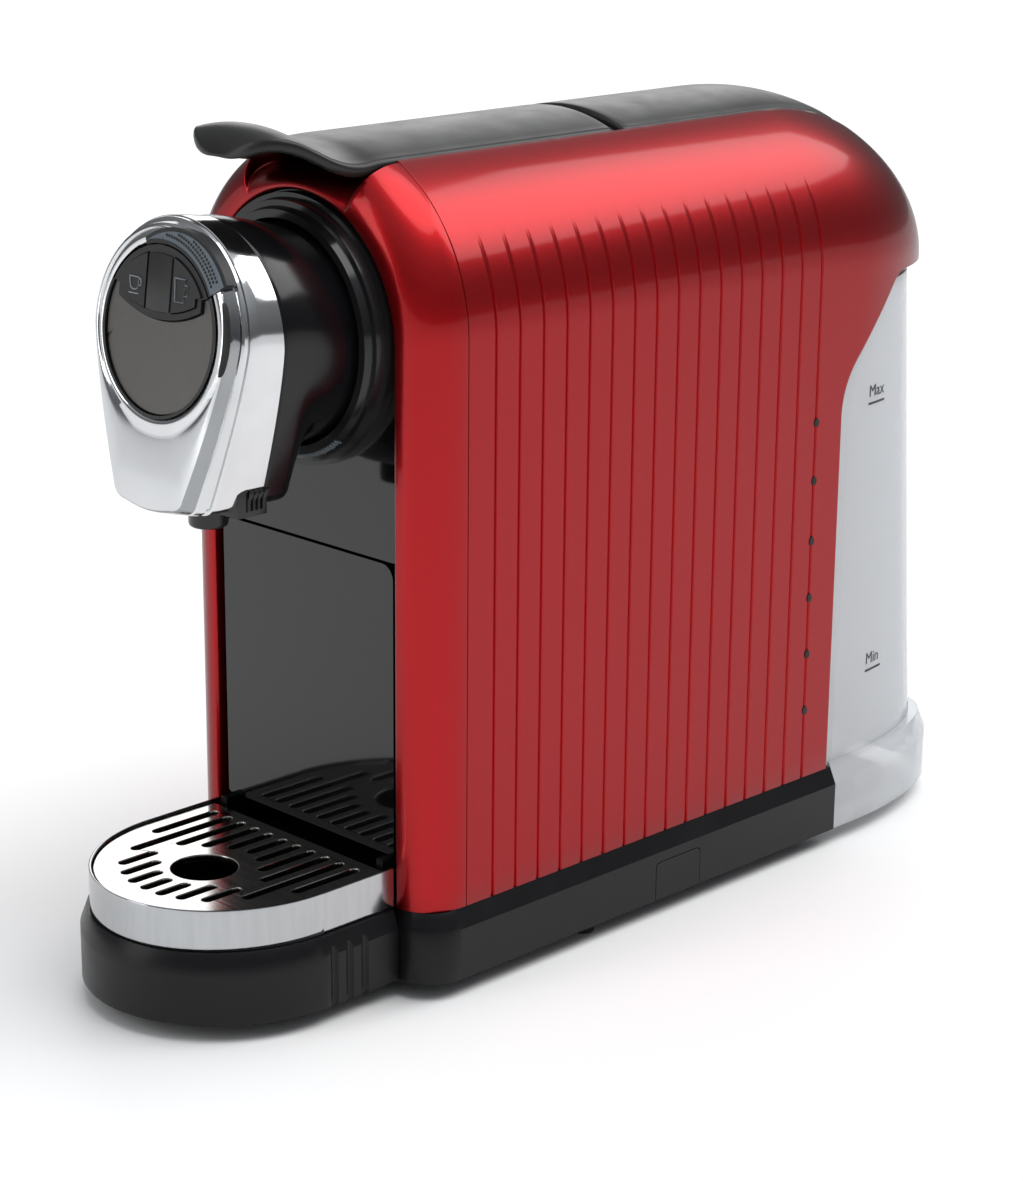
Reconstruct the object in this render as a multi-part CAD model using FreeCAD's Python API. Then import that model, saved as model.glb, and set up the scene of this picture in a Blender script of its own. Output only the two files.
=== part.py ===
import FreeCAD, Part
import math
import os

# Capsule espresso machine, millimetres, +Z up, front towards -Y.
# Origin: centre of the machine's footprint, on the surface it stands on.

# ---- driving dimensions -------------------------------------------------------------------
BODY_HALF = 59.5            # half width over the red side panels
BASE_HALF = 62.0            # half width over the black base and the tank's collar
FRONT_Y = -185.0            # front of the drip tray
REAR_Y = 185.0              # rear of the tank's collar
BASE_Z0, BASE_WALL_Z, BASE_TOP_Z = 6.0, 23.6, 29.6
BASE_FRONT_Y, BASE_REAR_Y = -105.0, 100.4
FASCIA_FRONT_Y, FASCIA_SEAM_Y = -103.5, -86.3
TOP_HALF = 27.5             # half width of the black strip along the top
SHOULDER_TOP_Z, SHOULDER_Z = 267.0, 215.0
ARCH_R = 69.0               # crown of the black top strip
SKIN = 2.2                  # moulded wall
GAP = 0.3                   # gap between neighbouring mouldings

# rear quarter of the body: one ellipse in plan and one in side view
PLAN_Y, PLAN_A, PLAN_B = 106.6, 31.5, 60.0
SIDE_Y, SIDE_B, SIDE_C = 88.0, 78.6, 54.0
SIDE_Z = SHOULDER_TOP_Z - SIDE_C
SWEEP_SLOPE = (97.5, 172.7)  # where the panel's rear edge turns back over the tank
SWEEP_END = (130.0, 209.5)   # where that edge levels out under the rear corner

OPENING_HALF, OPENING_Z = 44.0, 212.5   # arched opening of the front frame
NECK_Z = 212.5
GROOVE_COUNT, GROOVE_FIRST_Y, GROOVE_PITCH = 16, -74.3, 10.51
GROOVE_WIDTH, GROOVE_DEPTH = 1.3, 0.9

TRAY_HALF, TRAY_CENTRE_Y, TRAY_REACH = 48.0, -134.0, 51.0
RING_HALF, RING_REACH, RING_TOP_Z = 44.2, 48.0, 43.6

AXLE_Y, AXLE_Z, AXLE_R = 5.5, 257.0, 2.5          # lever axle
CRANK_R, LEVER_TRAVEL_DEG = 25.0, 60.0
CRANK_PIN_R = 2.5
FRAME_IN, FRAME_OUT, FRAME_TOP = 26.4, 29.4, 246.5  # brew unit side plates
CHAMBER_R, CHAMBER_FLAT_Z = 19.5, 228.8           # brew chamber, with a flat under the crank

HEAD_Z, DISC_Y, TILT_DEG = 220.0, -157.6, 7.5     # centre and lean of the round front
DISC_R = 25.5
SPOUT_Y, SPOUT_R = -141.0, 7.5
TANK_FRONT_Y, TANK_REAR_Y, TANK_LEAN = 98.8, 178.2, 0.0975
TANK_HALF, TANK_CORNER, TANK_CORNER_Y = 57.6, 29.5, 103.0
TANK_WALL = 2.0


def vec(x, y, z):
    return FreeCAD.Vector(x, y, z)


def box(x0, x1, y0, y1, z0, z1):
    return Part.makeBox(x1 - x0, y1 - y0, z1 - z0, vec(x0, y0, z0))


def rod(radius, start, axis, length):
    return Part.makeCylinder(radius, length, vec(*start), vec(*axis))


def cross_rod(radius, x0, x1, y, z):
    return rod(radius, (x0, y, z), (1, 0, 0), x1 - x0)


def mirrored(shape):
    return shape.mirror(vec(0, 0, 0), vec(1, 0, 0))


def both_sides(shape):
    return shape.fuse(mirrored(shape))


def joined(*shapes):
    return shapes[0].multiFuse(list(shapes[1:])).removeSplitter()


def rounded_wire(corners, place):
    """Closed wire through (u, v, radius) corners, each rounded by a tangent arc."""
    spans = []
    for i, (u, v, radius) in enumerate(corners):
        here = vec(u, v, 0)
        if radius == 0:
            spans.append((here, None, here))
            continue
        before = (vec(corners[i - 1][0], corners[i - 1][1], 0) - here).normalize()
        after_corner = corners[(i + 1) % len(corners)]
        after = (vec(after_corner[0], after_corner[1], 0) - here).normalize()
        half = before.getAngle(after) / 2
        reach = radius / math.tan(half)
        middle = here + (before + after).normalize() * (radius / math.sin(half) - radius)
        spans.append((here + before * reach, middle, here + after * reach))
    edges = []
    for i, (start, middle, end) in enumerate(spans):
        if middle is not None:
            edges.append(Part.Arc(place(start), place(middle), place(end)).toShape())
        following = spans[(i + 1) % len(spans)][0]
        if end.distanceToPoint(following) > 1e-6:
            edges.append(Part.LineSegment(place(end), place(following)).toShape())
    return Part.Wire(edges)


def plan_solid(corners, z0, z1):
    wire = rounded_wire(corners, lambda p: vec(p.x, p.y, z0))
    return Part.Face(wire).extrude(vec(0, 0, z1 - z0))


def side_solid(corners, x0, x1):
    wire = rounded_wire(corners, lambda p: vec(x0, p.x, p.y))
    return Part.Face(wire).extrude(vec(x1 - x0, 0, 0))


def front_solid(corners, y0, y1):
    wire = rounded_wire(corners, lambda p: vec(p.x, y0, p.y))
    return Part.Face(wire).extrude(vec(0, y1 - y0, 0))


def ellipse_edge(cx, cy, a, b, start_deg, end_deg, place):
    """Smooth edge along an ellipse between two angles."""
    steps = 8
    points = []
    for i in range(steps + 1):
        angle = math.radians(start_deg + (end_deg - start_deg) * i / steps)
        points.append(place(cx + a * math.cos(angle), cy + b * math.sin(angle)))
    curve = Part.BSplineCurve()
    curve.interpolate(points)
    return curve.toShape()


def line_edges(points):
    return [Part.LineSegment(p, q).toShape() for p, q in zip(points, points[1:])]


def ruled(wires):
    return Part.makeLoft(wires, True, True)


# ---- the outer form of the body ------------------------------------------------------------
def quarter(value, start, reach):
    """1 before start, falling to 0 along a quarter ellipse over the reach."""
    along = min(max((value - start) / reach, 0.0), 1.0)
    return math.sqrt(1 - along * along)


def body_half(y, inset=0.0):
    shrink = PLAN_A - inset
    return BODY_HALF - PLAN_A + shrink * quarter(y, PLAN_Y, PLAN_B - inset)


def body_top(y, inset=0.0):
    return SIDE_Z + (SIDE_C - inset) * quarter(y, SIDE_Y, SIDE_B - inset)


def body_section(y, inset, z_bottom, half=None, top=None):
    """Cross-section of the body: flat sides, a shoulder arc each side and a flat top."""
    half = body_half(y, inset) if half is None else half
    top = body_top(y, inset) if top is None else top
    floor = SWEEP_END[1] - 4.5
    start = floor + (SHOULDER_Z - floor) * (top - floor) / (SHOULDER_TOP_Z - floor)
    bulge_x = TOP_HALF + 0.73 * (half - TOP_HALF)
    bulge_z = start + 0.587 * (top - start)
    right = [vec(half, y, z_bottom), vec(half, y, start), vec(bulge_x, y, bulge_z),
             vec(TOP_HALF, y, top)]
    left = [vec(-p.x, p.y, p.z) for p in right]
    return Part.Wire([
        Part.LineSegment(left[0], right[0]).toShape(),
        Part.LineSegment(right[0], right[1]).toShape(),
        Part.Arc(right[1], right[2], right[3]).toShape(),
        Part.LineSegment(right[3], left[3]).toShape(),
        Part.Arc(left[3], left[2], left[1]).toShape(),
        Part.LineSegment(left[1], left[0]).toShape(),
    ])


def body_form(inset, z_bottom=BASE_TOP_Z):
    steps = [math.radians(12 * i) for i in range(8)]
    reach = SIDE_B - inset
    stations = [FASCIA_SEAM_Y] + [SIDE_Y + reach * math.sin(step) for step in steps]
    return ruled([body_section(y, inset, z_bottom) for y in stations])


def crown(x):
    return math.sqrt(ARCH_R ** 2 - x * x) - math.sqrt(ARCH_R ** 2 - TOP_HALF ** 2)


def crown_wire(y, half, edge_z, thickness, rise=1.0):
    """Arched strip section: crowned top, crowned underside and two short sides."""
    def point(x, z):
        return vec(x, y, z + rise * crown(x))
    top = [point(-half, edge_z), point(0, edge_z), point(half, edge_z)]
    low = [p - vec(0, 0, thickness) for p in top]
    return Part.Wire([
        Part.Arc(*top).toShape(),
        Part.LineSegment(top[2], low[2]).toShape(),
        Part.Arc(low[2], low[1], low[0]).toShape(),
        Part.LineSegment(low[0], top[0]).toShape(),
    ])


def tank_bay(shift):
    """Everything behind and below the panels' sweeping rear edge, moved back by shift."""
    y0, z0 = SWEEP_SLOPE
    y1, z1 = SWEEP_END
    corners = [(y0 + shift, 0, 0), (y0 + shift, z0 - 0.6 * shift, 30),
               (y1 + 0.8 * shift, z1 - shift, 10), (220, z1 - shift, 0), (220, 0, 0)]
    return side_solid(corners, -80, 80)


# ---- red casing ------------------------------------------------------------------------------
def side_panel():
    shell = body_form(0).cut(body_form(SKIN, BASE_TOP_Z - 5))
    slab = box(TOP_HALF + 0.15, 70, FASCIA_SEAM_Y + 0.15, 170, BASE_TOP_Z + 0.2, 270)
    panel = shell.common(slab).cut(tank_bay(0))
    skin = body_form(0).cut(body_form(GROOVE_DEPTH, BASE_TOP_Z - 5))
    slots = []
    for i in range(GROOVE_COUNT):
        y = GROOVE_FIRST_Y + i * GROOVE_PITCH
        slots.append(box(48, 70, y - GROOVE_WIDTH / 2, y + GROOVE_WIDTH / 2, 20, 246))
    return panel.cut(skin.common(Part.makeCompound(slots)))


def front_fascia():
    round_r = FASCIA_SEAM_Y - FASCIA_FRONT_Y
    wires = []
    for i in range(8):
        angle = math.radians(80 * i / 7)
        inset = (round_r - 1) * (1 - math.cos(angle))
        y = FASCIA_SEAM_Y - round_r * math.sin(angle) / math.sin(math.radians(80))
        wires.append(body_section(y, 0, BASE_TOP_Z + 0.2, BODY_HALF - inset,
                                  SHOULDER_TOP_Z - 0.35 * inset))
    solid = ruled(wires)
    arch = rod(OPENING_HALF, (0, -120, OPENING_Z), (0, 1, 0), 50)
    doorway = box(-OPENING_HALF, OPENING_HALF, -120, -70, 0, OPENING_Z)
    recess = box(-28.5, 28.5, -120, -70, 259.5, 280)
    return solid.cut(joined(arch, doorway)).cut(recess)


def rear_top_cover():
    ys = [AXLE_Y + 11.1, 60, SIDE_Y, 96, 104, 112, 120, 126.4]
    return ruled([crown_wire(y, TOP_HALF - 0.3, body_top(y), 2.6) for y in ys])


# ---- black base ------------------------------------------------------------------------------
def base_outline(half, z, front=BASE_FRONT_Y, rear=BASE_REAR_Y, radius=14):
    corners = [(-half, front, radius), (half, front, radius), (half, rear, 0), (-half, rear, 0)]
    return rounded_wire(corners, lambda p: vec(p.x, p.y, z))


def base_form(inset, z0, z1):
    bevel = 2.9
    low = Part.Face(base_outline(BASE_HALF - inset, z0, BASE_FRONT_Y + inset,
                                 BASE_REAR_Y - inset, 14 - inset))
    wall = low.extrude(vec(0, 0, BASE_WALL_Z - z0))
    cap = ruled([base_outline(BASE_HALF - inset - step, z, BASE_FRONT_Y + inset + step,
                              BASE_REAR_Y - inset, 14 - inset - step)
                 for step, z in ((0, BASE_WALL_Z), (bevel, z1))])
    return wall.fuse(cap)


def base_chassis():
    shell = base_form(0, BASE_Z0, BASE_TOP_Z).cut(base_form(2.6, BASE_Z0 + 2.6, BASE_TOP_Z))
    pocket = hatch_solid(0.25, BASE_HALF - 1.5)
    gland_hole = rod(5.2, (-BASE_HALF - 5, GLAND_Y, GLAND_Z), (1, 0, 0), 12)
    screws = [rod(1.8, (x, y, 0), (0, 0, 1), 12) for x, y in SCREW_PLACES]
    return shell.cut(pocket).cut(gland_hole).cut(Part.makeCompound(screws))


def hatch_solid(grow, x0):
    corners = [(3 - grow, BASE_Z0 - 1, 0), (3 - grow, 19.8 + grow, 2), (25.5 + grow, 19.8 + grow, 2),
               (25.5 + grow, BASE_Z0 - 1, 0)]
    return side_solid(corners, x0, BASE_HALF + 0.05)


SCREW_PLACES = [(-48, -70), (48, -70), (-48, 60), (48, 60)]


def base_screws():
    screws = []
    for x, y in SCREW_PLACES:
        head = rod(2.9, (x, y, 3.8), (0, 0, 1), 2.1)
        shank = rod(1.5, (x, y, 5.9), (0, 0, 1), 12)
        screws.append(head.fuse(shank))
    return Part.makeCompound(screws)


def rubber_feet():
    pads = []
    for x, y, r in ((38, -84, 7), (52, -23, 4.5), (38, 78, 7)):
        pads.append(Part.makeCone(r - 0.8, r, BASE_Z0, vec(x, y, 0)))
    pads += [mirrored(pad) for pad in pads]
    return Part.makeCompound(pads)


def deck_plate():
    deck = box(-54, 54, -95, 92, 26.6, 29.2)
    posts = [rod(4, (x, y, 8.6), (0, 0, 1), 18) for x, y in SCREW_PLACES]
    bores = [rod(1.55, (x, y, 8), (0, 0, 1), 11) for x, y in SCREW_PLACES]
    return joined(deck, *posts).cut(Part.makeCompound(bores))


def tank_shelf():
    plate = plan_solid([(-40, 60, 4), (40, 60, 4), (40, 168, 14), (-40, 168, 14)], 2.4, 5.8)
    pipe = rod(4.5, (0, 112, 5.8), (0, 0, 1), 10).cut(rod(2.2, (0, 112, 4), (0, 0, 1), 15))
    feet_room = [rod(7.6, (x, 78, 0), (0, 0, 1), 8) for x in (-38, 38)]
    return joined(plate, pipe).cut(Part.makeCompound(feet_room))


def shelf_pads():
    pads = [rod(6, (x, 152, 0), (0, 0, 1), 2.4) for x in (-26, 26)]
    return Part.makeCompound(pads)


def dock_seal():
    ring = Part.makeTorus(4.2, 1.2, vec(0, 112, 17.1), vec(0, 0, 1))
    return ring.common(box(-8, 8, 100, 120, 15.8, 18.3))


# ---- front panel, capsule bin and drip tray ---------------------------------------------------
BIN_TOP_Z = 143.3
TRAY_TONGUE_HALF = 40.5


def arch_plate(half, y0, y1, z0):
    disc = rod(half, (0, y0, OPENING_Z), (0, 1, 0), y1 - y0)
    slab = box(-half, half, y0, y1, z0, OPENING_Z)
    return disc.fuse(slab).common(box(-60, 60, y0, y1, z0, 300))


def upper_front_panel():
    plate = arch_plate(OPENING_HALF - 0.3, -100.5, -98, BIN_TOP_Z + 0.7)
    return plate.cut(rod(37.0, (0, -110, NECK_Z), (0, 1, 0), 20))


def neck_ring():
    steps = [(36, -97.8), (36, -110), (38.6, -110), (39.4, -107.4), (41.2, -107.4),
             (41.8, -104.2), (43.2, -104.2), (43.4, -100.6), (36.6, -100.6), (36.6, -97.8)]
    wire = Part.makePolygon([vec(r, y, NECK_Z) for r, y in steps + steps[:1]])
    return Part.Face(wire).revolve(vec(0, 0, NECK_Z), vec(0, 1, 0), 360)


def capsule_bin():
    y0, y1, z0 = -101.2, -14.0, 45.8
    tub = box(-40, 40, y0 + 2.4, y1, z0, 138)
    tub = tub.cut(box(-38, 38, y0 + 4.6, y1 - 2, z0 + 2, 140))
    half = TRAY_TONGUE_HALF + 0.8
    corners = [(-half, z0, 1.5), (-half, BIN_TOP_Z, 5), (half, BIN_TOP_Z, 5), (half, z0, 1.5)]
    front = front_solid(corners, y0, y0 + 2.4)
    return tub.fuse(front)


def tray_outline(half, reach, rear, z):
    """D-shaped outline: half an ellipse in front and straight sides to the rear."""
    front = ellipse_edge(0, TRAY_CENTRE_Y, half, reach, 180, 360, lambda x, y: vec(x, y, z))
    corners = [vec(half, TRAY_CENTRE_Y, z), vec(half, rear, z), vec(-half, rear, z),
               vec(-half, TRAY_CENTRE_Y, z)]
    return Part.Wire([front] + line_edges(corners))


def tray_block(half, reach, rear, z0, z1):
    return Part.Face(tray_outline(half, reach, rear, z0)).extrude(vec(0, 0, z1 - z0))


TRAY_REAR_Y = -105.4


def drip_tray():
    wall = tray_block(TRAY_HALF, TRAY_REACH, TRAY_REAR_Y, BASE_Z0, BASE_WALL_Z)
    ledge = ruled([tray_outline(TRAY_HALF - s, TRAY_REACH - s, TRAY_REAR_Y, z)
                   for s, z in ((0, BASE_WALL_Z), (2.2, BASE_TOP_Z))])
    bowl = tray_block(41.5, 44.5, TRAY_REAR_Y - 3, BASE_Z0 + 3, BASE_TOP_Z + 1)
    rim = tray_block(41.5 + 1.6, 46.1, -103.6, BASE_TOP_Z, 36.5).cut(
        tray_block(41.5, 44.5, TRAY_REAR_Y - 3, BASE_Z0, 40))
    tongue = box(-TRAY_TONGUE_HALF, TRAY_TONGUE_HALF, TRAY_REAR_Y - 3, -16, 30.2, 34)
    rails = both_sides(box(TRAY_TONGUE_HALF - 3, TRAY_TONGUE_HALF, TRAY_REAR_Y, -16, 34, 45.4))
    grips = []
    for y in (-133, -126.5, -120):
        grips.append(rod(1.7, (TRAY_HALF + 0.7, y, 0), (0, 0, 1), 26))
        grips.append(rod(1.7, (-TRAY_HALF - 0.7, y, 0), (0, 0, 1), 26))
    return joined(wall.cut(bowl), ledge.cut(bowl), rim, tongue, rails).cut(
        Part.makeCompound(grips))


def tray_ring():
    outer = tray_block(RING_HALF, RING_REACH, -103.6, BASE_TOP_Z + 0.2, RING_TOP_Z)
    inner = tray_block(RING_HALF - 0.9, RING_REACH - 0.9, -120, BASE_TOP_Z - 1, RING_TOP_Z + 1)
    back = box(-60, 60, TRAY_REAR_Y - 14, -80, BASE_TOP_Z - 2, RING_TOP_Z + 5)
    sides = tray_block(RING_HALF - 0.9, 40, -100, BASE_TOP_Z - 1, RING_TOP_Z + 1)
    return outer.cut(inner).cut(sides).cut(back.common(box(-42, 42, -125, -80, 0, 60)))


def slot_cut(x, y0, y1, width=3.6):
    r = width / 2
    ends = [rod(r, (x, y, 36), (0, 0, 1), 12) for y in (y0 + r, y1 - r)]
    return joined(box(x - r, x + r, y0 + r, y1 - r, 36, 48), *ends)


def drip_grille():
    plate = tray_block(RING_HALF - 1.5, RING_REACH - 1.5, -106.8, 40.4, 42.6)
    skirt = tray_block(RING_HALF - 3.2, RING_REACH - 3.2, -108.4, 36.8, 40.4).cut(
        tray_block(RING_HALF - 4.8, RING_REACH - 4.8, -110, 36, 41))
    hole = rod(10.9, (0, -146, 30), (0, 0, 1), 20)
    slots = []
    for i in range(-5, 6):
        x = 7.05 * i
        if abs(i) in (4,):
            slots.append(slot_cut(x, -153.5, -111.5))
            continue
        front = {0: -128, 1: -130, 2: -135, 3: -140, 5: -139}[abs(i)]
        slots.append(slot_cut(x, front, -111.5))
        if abs(i) <= 3:
            reach = {0: (-171.5, -159.8), 1: (-171, -158), 2: (-168.5, -153), 3: (-164, -148.8)}
            slots.append(slot_cut(x, *reach[abs(i)]))
    return plate.fuse(skirt).cut(Part.makeCompound(slots)).cut(hole)


# ---- coffee head -------------------------------------------------------------------------------
def lean(y, z, amount=1.0):
    return y + amount * (z - HEAD_Z) * math.tan(math.radians(TILT_DEG))


def shield_wire(y, radius, centre_z, bottom_z, tilt=0.0, shape=1.0):
    """Round-topped outline: a circle for shape 0, for shape 1 a shield with a blunt bottom."""
    height = centre_z - bottom_z
    right = []
    for i in range(7):
        angle = math.radians(90 - 15 * i)
        right.append((radius * math.cos(angle), centre_z + radius * math.sin(angle)))
    for i, share in enumerate((0.22, 0.44, 0.66, 0.84, 0.965, 1.0)):
        width = radius * (1 - (1 - SHIELD_WAIST) * share ** 1.3)
        width *= (1, 1, 1, 1, 0.88, 0.48)[i]
        turn = math.radians(15 * (i + 1) - 2)
        x = shape * width + (1 - shape) * radius * math.cos(turn)
        drop = shape * share * height + (1 - shape) * radius * math.sin(turn)
        right.append((x, centre_z - drop))
    left = [(-x, z) for x, z in reversed(right[1:])]
    points = [vec(x, lean(y, z, tilt), z) for x, z in right + left]
    curve = Part.BSplineCurve()
    curve.interpolate(points, PeriodicFlag=True)
    return Part.Wire([curve.toShape()])


def head_housing():
    def form(inset):
        return ruled([
            shield_wire(-96 + inset, 34.5 - inset, NECK_Z, 178 + inset, 0, 0),
            shield_wire(-111, 34.5 - inset, NECK_Z, 178 + inset, 0, 0),
            shield_wire(-117, 34.7 - inset, 214, 170.5 + inset, 0, 0.55),
            shield_wire(-124, 34.9 - inset, 216, 166 + inset, 0, 0.9),
            shield_wire(-138.8 - inset, 35.0 - inset, 217, 165 + inset),
        ])
    spout_room = rod(SPOUT_R + 1.0, (0, SPOUT_Y, 150), (0, 0, 1), 40)
    return form(0).cut(form(2.4)).cut(spout_room).cut(catch_body(0.2))


SHIELD_WAIST = 0.62


def head_shell():
    outer = ruled([
        shield_wire(-139.2, 35.8, 217, 164),
        shield_wire(-150, 35.4, 218.5, 164.2, 0.5),
        shield_wire(-155.2, 34.0, 219.5, 164.6, 1.0),
        shield_wire(-157.4, 31.8, 220, 165.8, 1.0),
        shield_wire(-158.2, 29.6, 220, 168.0, 1.0),
    ])
    inner = ruled([
        shield_wire(-138.0, 33.4, 217, 166.8),
        shield_wire(-150, 33.0, 218.5, 166.8, 0.5),
        shield_wire(-154.6, 30.0, 219.5, 168.6, 1.0),
    ])
    recess = disc_solid(DISC_R + 1.3, -3, 20)
    spout = rod(SPOUT_R + 1.0, (0, SPOUT_Y, 150), (0, 0, 1), 40)
    return outer.cut(inner).cut(recess).cut(spout).cut(crescent(1.0, -6, 20)).cut(
        catch_body(0.2))


def disc_solid(radius, depth0, depth1, u=0.0, v=0.0):
    """Round slug on the leaning front; depth runs inwards from the face."""
    tilt = math.radians(TILT_DEG)
    inward = vec(0, math.cos(tilt), -math.sin(tilt))
    up = vec(0, math.sin(tilt), math.cos(tilt))
    start = vec(u, DISC_Y, HEAD_Z) + up * v + inward * depth0
    return Part.makeCylinder(radius, depth1 - depth0, start, inward)


def face_prism(corners, depth0, depth1):
    """Prism on the leaning front from (u, v, radius) corners."""
    tilt = math.radians(TILT_DEG)
    inward = vec(0, math.cos(tilt), -math.sin(tilt))
    up = vec(0, math.sin(tilt), math.cos(tilt))
    origin = vec(0, DISC_Y, HEAD_Z) + inward * depth0
    wire = rounded_wire(corners, lambda p: origin + vec(1, 0, 0) * p.x + up * p.y)
    return Part.Face(wire).extrude(inward * (depth1 - depth0))


def crescent(grow, depth0, depth1):
    """Window over the keys: a wide circle less the round key field, trimmed at the right."""
    lune = disc_solid(26 + grow, depth0, depth1, 6.0, 4.0)
    field = disc_solid(DISC_R + 1.6 - grow, depth0 - 1, depth1 + 1)
    keep = face_prism([(-14 - grow, 17 - grow, 0), (20, 15 - grow, 0), (36, 21.5 - grow, 0),
                       (36, 40, 0), (-14 - grow, 40, 0)], depth0 - 1, depth1 + 1)
    return lune.cut(field).common(keep)


KEY_BOTTOM_R, KEY_BOTTOM_V = 42.5, 46.0


def key_field(grow, depth0, depth1):
    """Lens-shaped field of the keys: inside the disc, above a shallow arc."""
    disc = disc_solid(DISC_R + 0.2 + grow, depth0, depth1)
    bowl = disc_solid(KEY_BOTTOM_R + grow, depth0 - 1, depth1 + 1, 0, KEY_BOTTOM_V)
    sides = face_prism([(-19.5 - grow, -5, 0), (19.5 + grow, -5, 0), (19.5 + grow, 12, 0),
                        (30, 15, 0), (30, 40, 0), (-30, 40, 0), (-30, 15, 0),
                        (-19.5 - grow, 12, 0)], depth0 - 1, depth1 + 1)
    return disc.common(bowl).common(sides)


KEY_SPLIT = 6.0


def key(side):
    """One of the two push keys, left (-1) or right (+1) of the middle strip."""
    inner, outer = KEY_SPLIT + 0.35, 30
    u0, u1 = (inner, outer) if side > 0 else (-outer, -inner)
    keep = face_prism([(u0, -10, 0), (u1, -10, 0), (u1, 40, 0), (u0, 40, 0)], -8, 8)
    cap = key_field(-2.2, -2.2, 0.9).common(keep)
    stem = disc_solid(2.0, 0.9, 5.0, side * 11.5, 13.0)
    return cap.fuse(stem)


def key_bezel():
    body = key_field(0, -1.6, 1.8)
    wells = []
    for side in (-1, 1):
        u0, u1 = (KEY_SPLIT, 30) if side > 0 else (-30, -KEY_SPLIT)
        keep = face_prism([(u0, -10, 0), (u1, -10, 0), (u1, 40, 0), (u0, 40, 0)], -9, 9)
        wells.append(key_field(-1.8, -8, 8).common(keep))
    return body.cut(Part.makeCompound(wells))


def face_disc():
    disc = disc_solid(DISC_R, -0.6, 1.8)
    return disc.cut(key_field(0.25, -5, 8))


def disc_ring():
    ring = disc_solid(DISC_R + 1.15, -1.4, 1.8).cut(disc_solid(DISC_R + 0.15, -3, 4))
    return ring.cut(key_field(0.9, -5, 8)).cut(crescent(0.9, -8, 20))


def key_board():
    board = disc_solid(23.5, 6.4, 8.0)
    switches = [disc_solid(2.6, 5.9, 6.4, side * 11.5, 13.0) for side in (-1, 1)]
    return joined(board, *switches)


def disc_backing():
    plate = disc_solid(DISC_R + 1.1, 1.9, 3.5)
    holes = [disc_solid(2.5, 0, 6, side * 11.5, 13.0) for side in (-1, 1)]
    return plate.cut(Part.makeCompound(holes))


def spout():
    tube = rod(SPOUT_R, (0, SPOUT_Y, 156), (0, 0, 1), 30)
    bore = rod(SPOUT_R - 2, (0, SPOUT_Y, 162), (0, 0, 1), 30)
    outlet = rod(2.2, (0, SPOUT_Y, 150), (0, 0, 1), 20)
    return tube.cut(bore).cut(outlet)


def catch_body(grow):
    return box(19.5 - grow, 25.2 + grow, -149 - grow, -138 + grow, 164.1 - grow, 174.6 + grow)


def spout_catch():
    ribs = [box(25.2, 26.1, y, y + 1, 166.2, 172.6) for y in (-146.4, -144.5, -142.6, -140.7)]
    return joined(catch_body(0), *ribs)


def outlet_chute():
    """Open channel that leads the coffee from the outlet pipe to the spout."""
    outer = [(-137, 192, 0), (-106, 201, 0), (-106, 206, 0), (-137, 206, 0)]
    inner = [(-139, 193, 0), (-108, 202.6, 0), (-108, 210, 0), (-139, 210, 0)]
    return side_solid(outer, -6, 6).cut(side_solid(inner, -4.6, 4.6))


# ---- lever ---------------------------------------------------------------------------------------
LIP = [(-86, 272.9), (-92, 272.6), (-98, 272.1), (-104, 272.6), (-110, 274.3), (-116, 276.8),
       (-121, 278.7), (-126, 279.3), (-130, 278.0), (-133, 275.3), (-134.6, 273.2)]
LIP_START_Y, LIP_REACH = -100.0, 35.0
LEVER_HALF = TOP_HALF - 0.4
LEVER_REAR_Y = AXLE_Y + 6.0


def lever_half(y):
    along = min(max((LIP_START_Y - y) / LIP_REACH, 0), 0.9995)
    return LEVER_HALF * (1 - along ** 2.4) ** (1 / 2.4)


def lever_plate():
    crown_z = SHOULDER_TOP_Z + crown(0)
    wires = []
    for y, top in [(LEVER_REAR_Y, crown_z), (-40, crown_z), (-80, crown_z)] + LIP:
        wires.append(crown_wire(y, lever_half(y), top - crown(0), 4.4))
    return ruled(wires)


def lever():
    """Top handle with its rolled rear edge, hub, ribs and two crank arms."""
    plate = lever_plate()
    roll = cross_rod(13.0, -LEVER_HALF, LEVER_HALF, AXLE_Y, AXLE_Z).cut(
        cross_rod(10.2, -40, 40, AXLE_Y, AXLE_Z))
    wedge = side_solid([(AXLE_Y, AXLE_Z + 6, 0), (AXLE_Y, AXLE_Z + 20, 0),
                        (AXLE_Y + 20, AXLE_Z + 20, 0), (AXLE_Y + 20, AXLE_Z + 12, 0)], -30, 30)
    arch_ys = (AXLE_Y - 1, AXLE_Y + 25)
    arch = ruled([crown_wire(y, LEVER_HALF, SHOULDER_TOP_Z, 25) for y in arch_ys])
    roll = roll.common(wedge).common(arch)
    hub = cross_rod(6, -17.5, 17.5, AXLE_Y, AXLE_Z)
    rib = box(13.5, 17.5, AXLE_Y - 5, AXLE_Y + 3, AXLE_Z, 267.5)
    pin_y, pin_z = crank_pin_place()
    lean_y, lean_z = 5 * (AXLE_Z - pin_z) / CRANK_R, 5 * (pin_y - AXLE_Y) / CRANK_R
    arm = side_solid([(AXLE_Y - lean_y, AXLE_Z - lean_z, 0), (AXLE_Y + lean_y, AXLE_Z + lean_z, 0),
                      (pin_y + lean_y, pin_z + lean_z, 0), (pin_y - lean_y, pin_z - lean_z, 0)],
                     13.5, 17.5).fuse(cross_rod(5, 13.5, 17.5, pin_y, pin_z))
    body = plate.fuse(roll).fuse(joined(hub, both_sides(rib), both_sides(arm)))
    bores = cross_rod(AXLE_R + 0.06, -40, 40, AXLE_Y, AXLE_Z).fuse(
        cross_rod(CRANK_PIN_R + 0.03, -40, 40, pin_y, pin_z))
    return body.cut(bores)


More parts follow.
